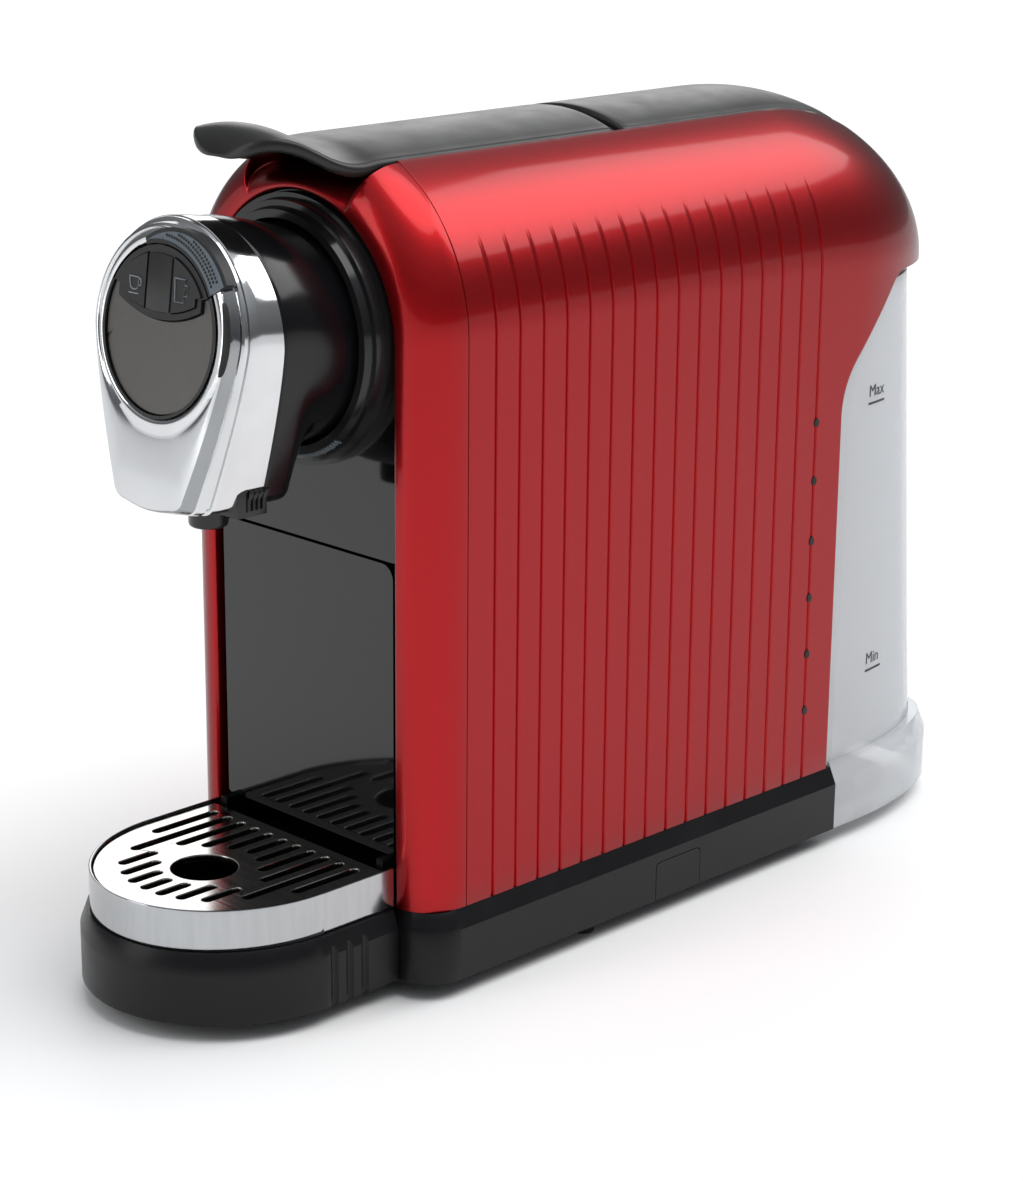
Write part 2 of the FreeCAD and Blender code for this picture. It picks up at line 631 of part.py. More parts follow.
def crank_pin_place(turned_deg=0.0):
    angle = math.radians(LEVER_TRAVEL_DEG / 2 - turned_deg)
    return AXLE_Y + CRANK_R * math.sin(angle), AXLE_Z - CRANK_R * math.cos(angle)


def crank_pin():
    y, z = crank_pin_place()
    return cross_rod(CRANK_PIN_R, -25, 25, y, z)


def lever_axle():
    return cross_rod(AXLE_R, -FRAME_OUT, FRAME_OUT, AXLE_Y, AXLE_Z)


# ---- brew unit ------------------------------------------------------------------------------------
def brew_frame():
    plate = box(FRAME_IN, FRAME_OUT, -84, 60, 147, FRAME_TOP)
    ear = joined(cross_rod(4.6, FRAME_IN, FRAME_OUT, AXLE_Y, AXLE_Z),
                 box(FRAME_IN, FRAME_OUT, AXLE_Y - 4.6, AXLE_Y + 4.6, FRAME_TOP - 1, AXLE_Z))
    windows = box(20, 40, -70, -40, 160, 195).fuse(box(20, 40, 20, 50, 160, 180))
    bore = cross_rod(AXLE_R + 0.01, 20, 40, AXLE_Y, AXLE_Z)
    return joined(plate, ear).cut(windows).cut(bore)


def slot_cover():
    """Inner cover under the lever, with the slot that the capsule drops through."""
    top = FRAME_TOP + 3.3
    plate = box(-27.0, 27.0, -85.5, -18.5, FRAME_TOP + 0.3, top)
    throat = box(-20.5, 20.5, -66, -26, 236, top)
    slot = box(-18.7, 18.7, -64, -28, 230, 260)
    return joined(plate, throat).cut(slot)


def brew_platform():
    plate = box(-56, 56, -85.6, 90, 144.4, 146.8).fuse(box(-43, 43, -97.4, -85.6, 144.4, 146.8))
    chute = box(-22, 22, -68, -26, 140, 150)
    hose_hole = box(-5, 5, 8, 30, 140, 150)
    return plate.removeSplitter().cut(chute).cut(hose_hole)


def capsule_cage():
    cup = rod(CHAMBER_R, (0, -30, NECK_Z), (0, 1, 0), 26)
    cavity = Part.makeCone(15.6, 12.4, 24, vec(0, -30, NECK_Z), vec(0, 1, 0))
    flat = box(-30, 30, -40, 10, CHAMBER_FLAT_Z, 240)
    return cup.cut(cavity).cut(rod(3, (0, -10, NECK_Z), (0, 1, 0), 10)).cut(flat)


def injector():
    plate = rod(CHAMBER_R, (0, -3.9, NECK_Z), (0, 1, 0), 6)
    nozzle = rod(2.2, (0, -8, NECK_Z), (0, 1, 0), 6)
    return plate.fuse(nozzle).cut(box(-30, 30, -10, 10, CHAMBER_FLAT_Z, 240))


def thermoblock():
    block = box(-19, 19, 2.3, 44, 190, 223)
    ribs = [box(-19, 19, y, y + 2, 187, 190) for y in (8, 16, 24, 32, 40)]
    return joined(block, *ribs)


def heater_bracket():
    plate = box(-26.3, 26.3, 44.2, 47.2, 186, 232)
    return plate.cut(box(-10, 10, 40, 50, 196, 214))


def brew_piston():
    """Sliding front half of the chamber with its side bars and open forks."""
    face = rod(19, (0, -50, NECK_Z), (0, 1, 0), 19.6)
    dish = rod(15.5, (0, -31.4, NECK_Z), (0, 1, 0), 4)
    pipe = rod(3.6, (0, -112, NECK_Z), (0, 1, 0), 64)
    bore = rod(2.2, (0, -114, NECK_Z), (0, 1, 0), 84)
    yoke = box(18, 24.5, -50, -42, 206, 219).common(box(0, 24.5, -60, 0, 206, 219))
    pin_y = crank_pin_place()[0]
    bar = box(20.6, 24.5, -50, pin_y + 8, 206, 219)
    fork = box(20.6, 24.5, pin_y - 8, pin_y + 8, 206, 247)
    room = CRANK_PIN_R + 0.65
    slot = box(18, 27, pin_y - room, pin_y + room, 227, 260)
    body = joined(face, pipe, both_sides(yoke), both_sides(bar), both_sides(fork.cut(slot)))
    return body.cut(dish).cut(bore)


def guide_rails():
    """Rails on the side plates that carry the piston's bars."""
    low = box(21.0, FRAME_IN, -84, 40, 202.4, 205.6)
    high = box(21.0, FRAME_IN, -84, -16.5, 219.4, 222.6)
    return Part.makeCompound([low, mirrored(low), high, mirrored(high)])


# ---- water and power parts ---------------------------------------------------------------------------
def pipe_along(points, bend, radius):
    """Round hose along straight runs joined by tangent arcs."""
    edges = []
    last = vec(*points[0])
    for i in range(1, len(points) - 1):
        here = vec(*points[i])
        before = (vec(*points[i - 1]) - here).normalize()
        after = (vec(*points[i + 1]) - here).normalize()
        half = before.getAngle(after) / 2
        start = here + before * (bend / math.tan(half))
        end = here + after * (bend / math.tan(half))
        middle = here + (before + after).normalize() * (bend / math.sin(half) - bend)
        edges.append(Part.LineSegment(last, start).toShape())
        edges.append(Part.Arc(start, middle, end).toShape())
        last = end
    edges.append(Part.LineSegment(last, vec(*points[-1])).toShape())
    path = Part.Wire(edges)
    direction = vec(*points[1]) - vec(*points[0])
    ring = Part.Wire(Part.makeCircle(radius, vec(*points[0]), direction))
    return path.makePipeShell([ring], True, True)


PUMP_X, PUMP_Z = 0.0, 62.0


def pump():
    coil = rod(17, (PUMP_X, 26, PUMP_Z), (0, 1, 0), 30)
    nose = rod(8, (PUMP_X, 10, PUMP_Z), (0, 1, 0), 16)
    tail = rod(9, (PUMP_X, 56, PUMP_Z), (0, 1, 0), 14)
    yoke = box(PUMP_X - 19, PUMP_X + 19, 28, 54, PUMP_Z - 19, PUMP_Z + 19)
    inlet = rod(3, (PUMP_X, 70, PUMP_Z), (0, 1, 0), 5)
    outlet = rod(3, (PUMP_X, 5, PUMP_Z), (0, 1, 0), 5)
    return joined(coil, nose, tail, yoke, inlet, outlet)


def pump_mounts():
    mounts = []
    for y0, r in ((12, 8), (60, 9)):
        block = box(-16, 16, y0, y0 + 6, 29.2, PUMP_Z + 13)
        mounts.append(block.cut(rod(r, (PUMP_X, y0 - 1, PUMP_Z), (0, 1, 0), 8)))
    return Part.makeCompound(mounts)


METER_X = 38.0


def flow_meter():
    body = rod(11.5, (METER_X, 74, 36), (0, 0, 1), 14)
    base = box(METER_X - 12, METER_X + 12, 62, 86, 29.2, 36)
    return joined(body, base)


def control_board():
    board = box(-47.6, -46, 0, 80, 50, 132)
    chips = [box(-46, -46 + t, y, y + w, z, z + h) for t, y, w, z, h in
             ((14, 8, 18, 60, 22), (9, 34, 12, 64, 12), (6, 52, 20, 60, 30), (10, 12, 14, 100, 18),
              (7, 40, 26, 104, 14))]
    return joined(board, *chips)


def board_holder():
    plate = box(-56, -54, -4, 84, 30, 140)
    posts = [rod(2.5, (-54, y, z), (1, 0, 0), 6.3) for y in (6, 74) for z in (55, 127)]
    foot = box(-56, -44, -4, 84, 29.2, 31.5)
    return joined(plate, foot, *posts)


GLAND_Y, GLAND_Z = 84.0, 15.6


def power_gland():
    barrel = rod(5.1, (-BASE_HALF, GLAND_Y, GLAND_Z), (1, 0, 0), 9)
    nut = rod(6.6, (-BASE_HALF + 2.7, GLAND_Y, GLAND_Z), (1, 0, 0), 4)
    bore = rod(3.6, (-BASE_HALF - 3, GLAND_Y, GLAND_Z), (1, 0, 0), 16)
    return joined(barrel, nut).cut(bore)


def rear_bulkhead():
    plate = front_solid([(-55.5, 30, 0), (55.5, 30, 0), (55.5, 214, 0), (27, 256, 0),
                         (-27, 256, 0), (-55.5, 214, 0)], 92.2, 94.6)
    return plate.cut(box(-9, 9, 90, 97, 29, 44))


def suction_hose():
    return pipe_along([(METER_X, 74, 50.2), (METER_X, 74, 74), (0, 84, 74), (0, 84, 62), (0, 75.2, 62)],
                      4.5, 2.6)


def pressure_hose():
    points = [(0, 4.6, 62), (0, -4, 62), (0, -4, 130), (0, 24, 150), (0, 24, 186.6)]
    return pipe_along(points, 8, 2.6)


def dock_hose():
    return pipe_along([(METER_X, 61.8, 33), (METER_X, 54, 33), (20, 54, 33), (20, 91, 33)], 4, 2.4)


# ---- water tank --------------------------------------------------------------------------------------
def tank_plan(z, half, rear, corner_a, front, corner_y=TANK_CORNER_Y):
    """Tank outline: square front, elliptical rear corners."""
    cx = half - corner_a
    depth = rear - corner_y
    right = ellipse_edge(cx, corner_y, corner_a, depth, 0, 90, lambda x, y: vec(x, y, z))
    left = ellipse_edge(-cx, corner_y, corner_a, depth, 90, 180, lambda x, y: vec(x, y, z))
    back = Part.LineSegment(vec(cx, rear, z), vec(-cx, rear, z)).toShape()
    corners = [vec(-half, corner_y, z), vec(-half, front, z), vec(half, front, z),
               vec(half, corner_y, z)]
    return Part.Wire([right, back, left] + line_edges(corners))


def tank_rear(z):
    return TANK_REAR_Y - (z - BASE_TOP_Z) * TANK_LEAN


def tank_form(inset, z0, z1):
    return ruled([tank_plan(z, TANK_HALF - inset, tank_rear(z) - inset, TANK_CORNER - inset,
                            TANK_FRONT_Y + inset) for z in (z0, z1)])


def rear_curve(b_less, c_less, y0, y1, x0, x1, z_low):
    """Solid under the rear quarter curve, pulled in by b_less and c_less."""
    b, c = SIDE_B - b_less, SIDE_C - c_less
    start = math.degrees(math.acos((y1 - SIDE_Y) / b)) if y1 < SIDE_Y + b else 0.0
    end = math.degrees(math.acos((y0 - SIDE_Y) / b))
    curve = ellipse_edge(SIDE_Y, SIDE_Z, b, c, start, end, lambda y, z: vec(x0, y, z))
    far, near = curve.Vertexes[0].Point, curve.Vertexes[-1].Point
    lines = line_edges([near, vec(x0, near.y, z_low), vec(x0, far.y, z_low), far])
    return Part.Face(Part.Wire([curve] + lines)).extrude(vec(x1 - x0, 0, 0))


NECK_HALF, NECK_FRONT_Y = 26.6, 129.0
TANK_FLOOR_Z = BASE_TOP_Z + 0.3
LID_EDGE_Y = 157.5


def tank_room(inset):
    """Space taken by the tank, or its cavity when inset by the wall."""
    wide = tank_form(inset, TANK_FLOOR_Z + inset, 206 - inset).common(tank_bay(1.2 + inset))
    half = NECK_HALF - inset
    neck = tank_form(inset, 190, 262).common(
        rear_curve(4.0 - 6 * inset, 4.4 - 6 * inset, NECK_FRONT_Y + inset, 162, -half, half, 190))
    return wide.fuse(neck)


def collar():
    """Flared foot of the tank, level with the black base."""
    def outline(z, step):
        return tank_plan(z, BASE_HALF - 0.4 - step, REAR_Y - step, 31.5 - step,
                         BASE_REAR_Y + 0.4, 112)
    def form(step, top):
        low = Part.Face(outline(BASE_Z0, step)).extrude(vec(0, 0, BASE_WALL_Z - BASE_Z0))
        return low.fuse(ruled([outline(BASE_WALL_Z, step), outline(top, step + 3.4)]))
    skirt = form(0, TANK_FLOOR_Z + 1.1).cut(form(2.6, BASE_TOP_Z - 2))
    return skirt.cut(box(-57, 57, 95, 108, 0, BASE_TOP_Z - 4))


def water_tank():
    shell = tank_room(0).fuse(collar().cut(tank_room(1.0))).cut(tank_room(TANK_WALL))
    return shell.cut(rod(VALVE_BORE_R, (0, VALVE_Y, 20), (0, 0, 1), 20))


def tank_lid():
    cap = rear_curve(0.9, 1.2, 127.6, LID_EDGE_Y, -26.4, 26.4, 200).cut(
        rear_curve(3.4, 3.8, 120, 166, -30, 30, 190))
    rim = box(-24.2, 24.2, 131.6, 150, 200, 262).cut(box(-22.8, 22.8, 133, 148.6, 190, 270))
    plug = rim.common(rear_curve(3.3, 3.7, 120, 166, -30, 30, 190)).cut(
        rear_curve(8.0, 9.0, 120, 160, -30, 30, 190))
    return cap.fuse(plug)


VALVE_Y, VALVE_BORE_R = 112.0, 4.0
VALVE_Z = TANK_FLOOR_Z + TANK_WALL


def valve_poppet():
    disc = rod(5.8, (0, VALVE_Y, VALVE_Z + 0.2), (0, 0, 1), 1.6)
    stem = rod(1.8, (0, VALVE_Y, 18.9), (0, 0, 1), VALVE_Z - 18.4)
    return disc.fuse(stem)


def valve_cage():
    z = VALVE_Z
    ring = rod(9, (0, VALVE_Y, z), (0, 0, 1), 13).cut(rod(7.4, (0, VALVE_Y, z - 1), (0, 0, 1), 12.6))
    windows = [box(-12, 12, VALVE_Y - 2.5, VALVE_Y + 2.5, z + 2, z + 9),
               box(-2.5, 2.5, VALVE_Y - 12, VALVE_Y + 12, z + 2, z + 9)]
    return ring.cut(Part.makeCompound(windows))


def valve_spring():
    z = VALVE_Z + 2.2
    helix = Part.makeHelix(1.9, 9.0, 4.2)
    helix.translate(vec(0, VALVE_Y, z))
    ring = Part.Wire(Part.makeCircle(0.35, vec(4.2, VALVE_Y, z), vec(0, 1, 0.07)))
    return Part.Wire(helix.Edges).makePipeShell([ring], True, True)


# ---- output --------------------------------------------------------------------------------------------
NODES = {
    "base_chassis": base_chassis,
    "base_side_hatch": lambda: hatch_solid(0, BASE_HALF - 1.3).common(
        box(0, 80, 0, 40, BASE_Z0, 40)),
    "base_screws": base_screws,
    "rubber_feet": rubber_feet,
    "deck_plate": deck_plate,
    "tank_shelf": tank_shelf,
    "tank_shelf_pads": shelf_pads,
    "dock_seal": dock_seal,
    "front_fascia": front_fascia,
    "side_panel_right": side_panel,
    "side_panel_left": lambda: mirrored(side_panel()),
    "rear_top_cover": rear_top_cover,
    "rear_bulkhead": rear_bulkhead,
    "upper_front_panel": upper_front_panel,
    "neck_ring": neck_ring,
    "head_housing": head_housing,
    "head_shell": head_shell,
    "disc_trim_ring": disc_ring,
    "face_disc": face_disc,
    "disc_backing": disc_backing,
    "key_bezel": key_bezel,
    "espresso_key": lambda: key(-1),
    "lungo_key": lambda: key(1),
    "key_board": key_board,
    "indicator_window": lambda: crescent(0.2, -1.8, 4.0),
    "spout": spout,
    "spout_catch": spout_catch,
    "outlet_chute": outlet_chute,
    "capsule_bin": capsule_bin,
    "drip_tray": drip_tray,
    "tray_ring": tray_ring,
    "drip_grille": drip_grille,
    "lever": lever,
    "lever_axle": lever_axle,
    "crank_pin": crank_pin,
    "slot_cover": slot_cover,
    "brew_frame_right": brew_frame,
    "brew_frame_left": lambda: mirrored(brew_frame()),
    "brew_platform": brew_platform,
    "guide_rails": guide_rails,
    "brew_piston": brew_piston,
    "capsule_cage": capsule_cage,
    "injector": injector,
    "thermoblock": thermoblock,
    "heater_bracket": heater_bracket,
    "pump": pump,
    "pump_mounts": pump_mounts,
    "flow_meter": flow_meter,
    "suction_hose": suction_hose,
    "pressure_hose": pressure_hose,
    "dock_hose": dock_hose,
    "control_board": control_board,
    "board_holder": board_holder,
    "power_gland": power_gland,
    "water_tank": water_tank,
    "tank_lid": tank_lid,
    "valve_poppet": valve_poppet,
    "valve_cage": valve_cage,
    "valve_spring": valve_spring,
}

os.makedirs("parts", exist_ok=True)
for name, make in NODES.items():
    shape = make()
    shape.exportStep("parts/" + name + ".step")
    extent = shape.BoundBox
    print(name, len(shape.Solids), shape.isValid(), round(shape.Volume / 1000, 2),
          [round(v, 1) for v in (extent.XMin, extent.XMax, extent.YMin, extent.YMax,
                                 extent.ZMin, extent.ZMax)])
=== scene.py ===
import math

import bmesh
import bpy
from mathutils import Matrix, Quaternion, Vector


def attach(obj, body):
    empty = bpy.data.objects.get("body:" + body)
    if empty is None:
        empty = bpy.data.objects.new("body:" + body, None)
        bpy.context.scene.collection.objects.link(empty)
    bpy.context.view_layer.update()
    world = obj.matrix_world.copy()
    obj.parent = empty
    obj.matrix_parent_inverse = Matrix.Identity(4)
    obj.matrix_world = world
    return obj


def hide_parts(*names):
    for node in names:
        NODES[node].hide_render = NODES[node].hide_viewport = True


# Capsule espresso machine. Shapes are given in millimetres and become metres in make_piece().
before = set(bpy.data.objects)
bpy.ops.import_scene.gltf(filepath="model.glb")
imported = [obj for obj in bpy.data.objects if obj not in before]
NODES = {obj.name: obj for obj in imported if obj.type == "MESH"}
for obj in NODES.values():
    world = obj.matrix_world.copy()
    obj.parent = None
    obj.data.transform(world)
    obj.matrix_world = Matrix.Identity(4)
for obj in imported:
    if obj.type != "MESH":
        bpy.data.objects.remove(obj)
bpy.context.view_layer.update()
MM = 0.001


# ---- nodes and materials -----------------------------------------------------------------------
class Finish:
    """A Principled material with a few helpers for procedural detail."""

    def __init__(self, name, color, roughness, metallic=0.0, coat=0.0, coat_roughness=0.05,
                 ior=1.48, specular=0.5):
        self.material = bpy.data.materials.new(name)
        self.material.use_nodes = True
        self.nodes = self.material.node_tree.nodes
        self.links = self.material.node_tree.links
        self.shader = self.nodes["Principled BSDF"]
        self.set("Base Color", (*color, 1.0))
        self.set("Roughness", roughness)
        self.set("Metallic", metallic)
        self.set("Coat Weight", coat)
        self.set("Coat Roughness", coat_roughness)
        self.set("IOR", ior)
        self.set("Specular IOR Level", specular)
        self.material.diffuse_color = (*color, 1.0)

    def set(self, socket, value):
        self.shader.inputs[socket].default_value = value

    def coordinates(self, stretch=(1.0, 1.0, 1.0)):
        source = self.nodes.new("ShaderNodeTexCoord")
        mapping = self.nodes.new("ShaderNodeMapping")
        mapping.inputs["Scale"].default_value = stretch
        self.links.new(source.outputs["Object"], mapping.inputs["Vector"])
        return mapping.outputs["Vector"]

    def noise(self, scale, detail=3.0, stretch=(1.0, 1.0, 1.0), roughness=0.5):
        node = self.nodes.new("ShaderNodeTexNoise")
        node.inputs["Scale"].default_value = scale
        node.inputs["Detail"].default_value = detail
        node.inputs["Roughness"].default_value = roughness
        self.links.new(self.coordinates(stretch), node.inputs["Vector"])
        return node.outputs["Fac"]

    def ramp(self, value, stops):
        node = self.nodes.new("ShaderNodeValToRGB")
        for i, (place, color) in enumerate(stops):
            element = (node.color_ramp.elements[i] if i < 2
                       else node.color_ramp.elements.new(place))
            element.position = place
            element.color = (*color, 1.0)
        self.links.new(value, node.inputs["Fac"])
        return node.outputs["Color"]

    def spread(self, value, low, high, start=0.3, end=0.7):
        node = self.nodes.new("ShaderNodeMapRange")
        for socket, number in (("From Min", start), ("From Max", end),
                               ("To Min", low), ("To Max", high)):
            node.inputs[socket].default_value = number
        self.links.new(value, node.inputs["Value"])
        return node.outputs["Result"]

    def vary_color(self, value, stops):
        self.links.new(self.ramp(value, stops), self.shader.inputs["Base Color"])

    def vary_roughness(self, value, low, high):
        self.links.new(self.spread(value, low, high), self.shader.inputs["Roughness"])

    def bump(self, value, height, strength=1.0):
        node = self.nodes.new("ShaderNodeBump")
        node.inputs["Strength"].default_value = strength
        node.inputs["Distance"].default_value = height
        self.links.new(value, node.inputs["Height"])
        self.links.new(node.outputs["Normal"], self.shader.inputs["Normal"])


def shade(color, factor):
    return tuple(min(1.0, channel * factor) for channel in color)


def moulded(name, color, roughness, grain=1500.0, depth=0.00003, **more):
    """Moulded plastic: fine grain, slightly uneven gloss and tone."""
    finish = Finish(name, color, roughness, **more)
    patches = finish.noise(35.0, 4.0)
    finish.vary_color(patches, [(0.3, shade(color, 0.85)), (0.7, shade(color, 1.15))])
    finish.vary_roughness(finish.noise(90.0, 5.0), roughness * 0.88, roughness * 1.12)
    finish.bump(finish.noise(grain, 2.0), depth)
    return finish.material


def metal(name, color, roughness, stretch=(1.0, 1.0, 1.0), scale=300.0, depth=0.000004):
    finish = Finish(name, color, roughness, metallic=1.0)
    streaks = finish.noise(scale, 4.0, stretch)
    finish.vary_color(streaks, [(0.25, shade(color, 0.93)), (0.75, shade(color, 1.05))])
    finish.vary_roughness(streaks, roughness * 0.8, roughness * 1.25)
    finish.bump(streaks, depth)
    return finish.material


def candy_red():
    finish = Finish("red_paint", (0.36, 0.006, 0.012), 0.34, metallic=0.86, coat=0.35,
                    coat_roughness=0.09, ior=1.4)
    angle = finish.nodes.new("ShaderNodeLayerWeight")
    angle.inputs["Blend"].default_value = 0.42
    flakes = finish.noise(2600.0, 1.0)
    mixed = finish.nodes.new("ShaderNodeMath")
    mixed.operation = "MULTIPLY_ADD"
    mixed.inputs[1].default_value = 0.16
    finish.links.new(flakes, mixed.inputs[0])
    finish.links.new(angle.outputs["Facing"], mixed.inputs[2])
    finish.vary_color(mixed.outputs["Value"], [(0.04, (0.48, 0.005, 0.008)),
                                               (0.45, (0.29, 0.003, 0.006)),
                                               (0.95, (0.09, 0.001, 0.002))])
    finish.vary_roughness(finish.noise(1800.0, 1.0), 0.29, 0.39)
    finish.bump(finish.noise(60.0, 2.0), 0.000012)
    return finish.material


def clear_plastic():
    finish = Finish("clear_tank", (0.80, 0.83, 0.86), 0.10, ior=1.45, coat=0.3)
    edge = finish.nodes.new("ShaderNodeLayerWeight")
    edge.inputs["Blend"].default_value = 0.30
    cloudy = finish.noise(40.0, 3.0)
    mixed = finish.nodes.new("ShaderNodeMath")
    mixed.operation = "MULTIPLY_ADD"
    mixed.inputs[1].default_value = 0.02
    finish.links.new(cloudy, mixed.inputs[0])
    finish.links.new(edge.outputs["Facing"], mixed.inputs[2])
    finish.links.new(finish.spread(mixed.outputs["Value"], 0.38, 0.95, 0.0, 0.8),
                     finish.shader.inputs["Alpha"])
    finish.vary_roughness(cloudy, 0.08, 0.14)
    # painted shade: the tank's colour darkens towards its edges where they are seen edge-on
    finish.vary_color(mixed.outputs["Value"], [(0.05, (0.74, 0.75, 0.77)),
                                               (0.35, (0.62, 0.635, 0.66)),
                                               (0.80, (0.36, 0.385, 0.42))])
    finish.bump(finish.noise(120.0, 2.0), 0.000004)
    return finish.material


def printed_board():
    """Green printed board with fine copper tracks."""
    finish = Finish("circuit_board", (0.01, 0.09, 0.04), 0.4)
    finish.vary_color(finish.noise(700.0, 1.0, (1.0, 0.15, 1.0)),
                      [(0.46, (0.008, 0.08, 0.035)), (0.54, (0.05, 0.20, 0.08))])
    return finish.material


PALETTE = {
    "red_paint": candy_red(),
    "satin_black": moulded("satin_black", (0.012, 0.012, 0.011), 0.36, 2200.0, 0.00002,
                           specular=0.42),
    "gloss_black": moulded("gloss_black", (0.004, 0.004, 0.004), 0.06, 60.0, 0.000008, coat=0.15),
    "housing_black": moulded("housing_black", (0.005, 0.005, 0.006), 0.17, 80.0, 0.00001,
                             specular=0.32),
    "ring_grey": moulded("ring_grey", (0.012, 0.012, 0.013), 0.15, 80.0, 0.00001, specular=0.45),
    "black_base": moulded("black_base", (0.005, 0.005, 0.006), 0.33, 1800.0, 0.00003,
                          specular=0.28),
    "rubber": moulded("rubber", (0.018, 0.018, 0.018), 0.75, 1500.0, 0.00006),
    "inner_plastic": moulded("inner_plastic", (0.05, 0.05, 0.052), 0.45),
    "spout_plastic": moulded("spout_plastic", (0.008, 0.008, 0.008), 0.3),
    "piston_plastic": moulded("piston_plastic", (0.35, 0.34, 0.32), 0.4),
    "key_rubber": moulded("key_rubber", (0.010, 0.010, 0.011), 0.48, 2500.0, 0.00003),
    "dark_disc": metal("dark_disc", (0.15, 0.145, 0.138), 0.36, (1.0, 1.0, 0.25), 2200.0, 0.000002),
    "chrome": metal("chrome", (0.66, 0.67, 0.68), 0.11, scale=60.0, depth=0.000002),
    # darker copy of the chrome: painted shade, a darker reflection painted into the shell's channel
    "shaded_chrome": metal("shaded_chrome", (0.34, 0.35, 0.36), 0.10, scale=60.0, depth=0.000002),
    "ring_chrome": metal("ring_chrome", (0.46, 0.47, 0.48), 0.12, (1.0, 1.0, 0.1), 500.0),
    "grille_steel": metal("grille_steel", (0.62, 0.60, 0.57), 0.17, (0.04, 1.0, 1.0), 800.0),
    "screw_steel": metal("screw_steel", (0.55, 0.55, 0.56), 0.28),
    "heater_alloy": metal("heater_alloy", (0.62, 0.62, 0.63), 0.42, scale=900.0, depth=0.00003),
    "pump_body": metal("pump_body", (0.42, 0.40, 0.38), 0.38),
    "hose": moulded("hose", (0.62, 0.60, 0.55), 0.45),
    "circuit_board": printed_board(),
    "clear_tank": clear_plastic(),
    "window_grey": moulded("window_grey", (0.105, 0.128, 0.150), 0.30, 900.0, 0.00001),
    "icon_line": moulded("icon_line", (0.19, 0.22, 0.24), 0.4),
    "mark_print": moulded("mark_print", (0.03, 0.03, 0.035), 0.5),
    # near-black fill for slits, vents and window holes: painted shade where the real part has an
    # opening
    "dark_gap": moulded("dark_gap", (0.002, 0.002, 0.002), 0.6),
    "valve_white": moulded("valve_white", (0.80, 0.80, 0.78), 0.4),
}


# ---- mesh tools --------------------------------------------------------------------------------
def make_piece(name, points, faces, body, finish, replaces=(), sharp_deg=38.0, slot=None):
    """A smooth mesh piece from millimetre points, riding on a body."""
    mesh = bpy.data.meshes.new(name)
    mesh.from_pydata([Vector(point) * MM for point in points], [], faces)
    work = bmesh.new()
    work.from_mesh(mesh)
    bmesh.ops.remove_doubles(work, verts=work.verts, dist=0.000004)
    bmesh.ops.dissolve_degenerate(work, edges=work.edges, dist=0.000001)
    loose = [vert for vert in work.verts if not vert.link_faces]
    bmesh.ops.delete(work, geom=loose, context="VERTS")
    bmesh.ops.recalc_face_normals(work, faces=work.faces)
    work.to_mesh(mesh)
    work.free()
    mesh.shade_smooth()
    mesh.set_sharp_from_angle(angle=math.radians(sharp_deg))
    mesh.materials.append(PALETTE[finish])
    piece = bpy.data.objects.new(name, mesh)
    bpy.context.scene.collection.objects.link(piece)
    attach(piece, body)
    if replaces:
        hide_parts(*replaces)
    return piece


def grid(rows, wrap=False):
    """Points and quads of a grid of equally long rows; wrap joins each row's ends."""
    width = len(rows[0])
    points = [point for row in rows for point in row]
    faces = []
    for r in range(len(rows) - 1):
        for c in range(width if wrap else width - 1):
            after = (c + 1) % width
            faces.append((r * width + c, r * width + after,
                          (r + 1) * width + after, (r + 1) * width + c))
    return points, faces


def closed_loft(rows):
    """A closed solid from rings of equal length, with a cap on each end."""
    points, faces = grid(rows, wrap=True)
    width = len(rows[0])
    faces.append(tuple(range(width)))
    faces.append(tuple(range(len(points) - width, len(points))))
    return points, faces


def flipped_x(points):
    return [(-x, y, z) for x, y, z in points]


def spaced(start, end, count):
    return [start + (end - start) * i / (count - 1) for i in range(count)]


def smooth_step(value, start, end):
    along = min(max((value - start) / (end - start), 0.0), 1.0)
    return along * along * (3 - 2 * along)


def tube_rows(path, radius, sides=8):
    """Rings round a path of Vectors."""
    rows = []
    for i, here in enumerate(path):
        ahead = path[min(i + 1, len(path) - 1)] - path[max(i - 1, 0)]
        side = ahead.cross(Vector((0.31, 0.17, 0.93))).normalized()
        other = ahead.cross(side).normalized()
        rows.append([tuple(here + (side * math.cos(a) + other * math.sin(a)) * radius)
                     for a in (2 * math.pi * k / sides for k in range(sides))])
    return rows


def merged(parts):
    points, faces = [], []
    for more_points, more_faces in parts:
        start = len(points)
        points += list(more_points)
        faces += [tuple(start + i for i in face) for face in more_faces]
    return points, faces


def solidify(piece, thickness, offset=-1.0):
    thick = piece.modifiers.new("wall", "SOLIDIFY")
    thick.thickness = thickness * MM
    thick.offset = offset
    thick.use_even_offset = True
    thick.use_quality_normals = True
    return piece


def rounded(piece, width, segments=3, angle_deg=35.0):
    edge = piece.modifiers.new("edge", "BEVEL")
    edge.width = width * MM
    edge.segments = segments
    edge.limit_method = "ANGLE"
    edge.angle_limit = math.radians(angle_deg)
    edge.harden_normals = False
    return piece


# ---- the body's form ---------------------------------------------------------------------------
BODY_HALF, TOP_HALF, SHOULDER_TOP, SHOULDER_Z, ARCH_R = 59.5, 27.5, 267.0, 215.0, 69.0
PLAN_Y, PLAN_A, PLAN_B = 106.6, 31.5, 60.0
SIDE_Y, SIDE_B, SIDE_C, SIDE_Z = 88.0, 78.6, 54.0, 213.0
REAR_EDGE_Y, PANEL_LOW_Z, PANEL_FRONT_Y = 97.5, 29.8, -86.0
SWEEP_END_Z = 209.5
GROOVES = [-74.3 + 10.51 * i for i in range(16)]
GROOVE_DEPTH, GROOVE_TOP_Z, GROOVE_FADE = 0.95, 247.0, 20.0
GROOVE_STATIONS = (0.25, 0.4, 0.6, 0.8, 0.95, 1.2)   # mesh rows on each side of a groove
VENT_HEIGHTS = (162.0, 141.0, 119.0, 98.0, 77.0, 55.6)


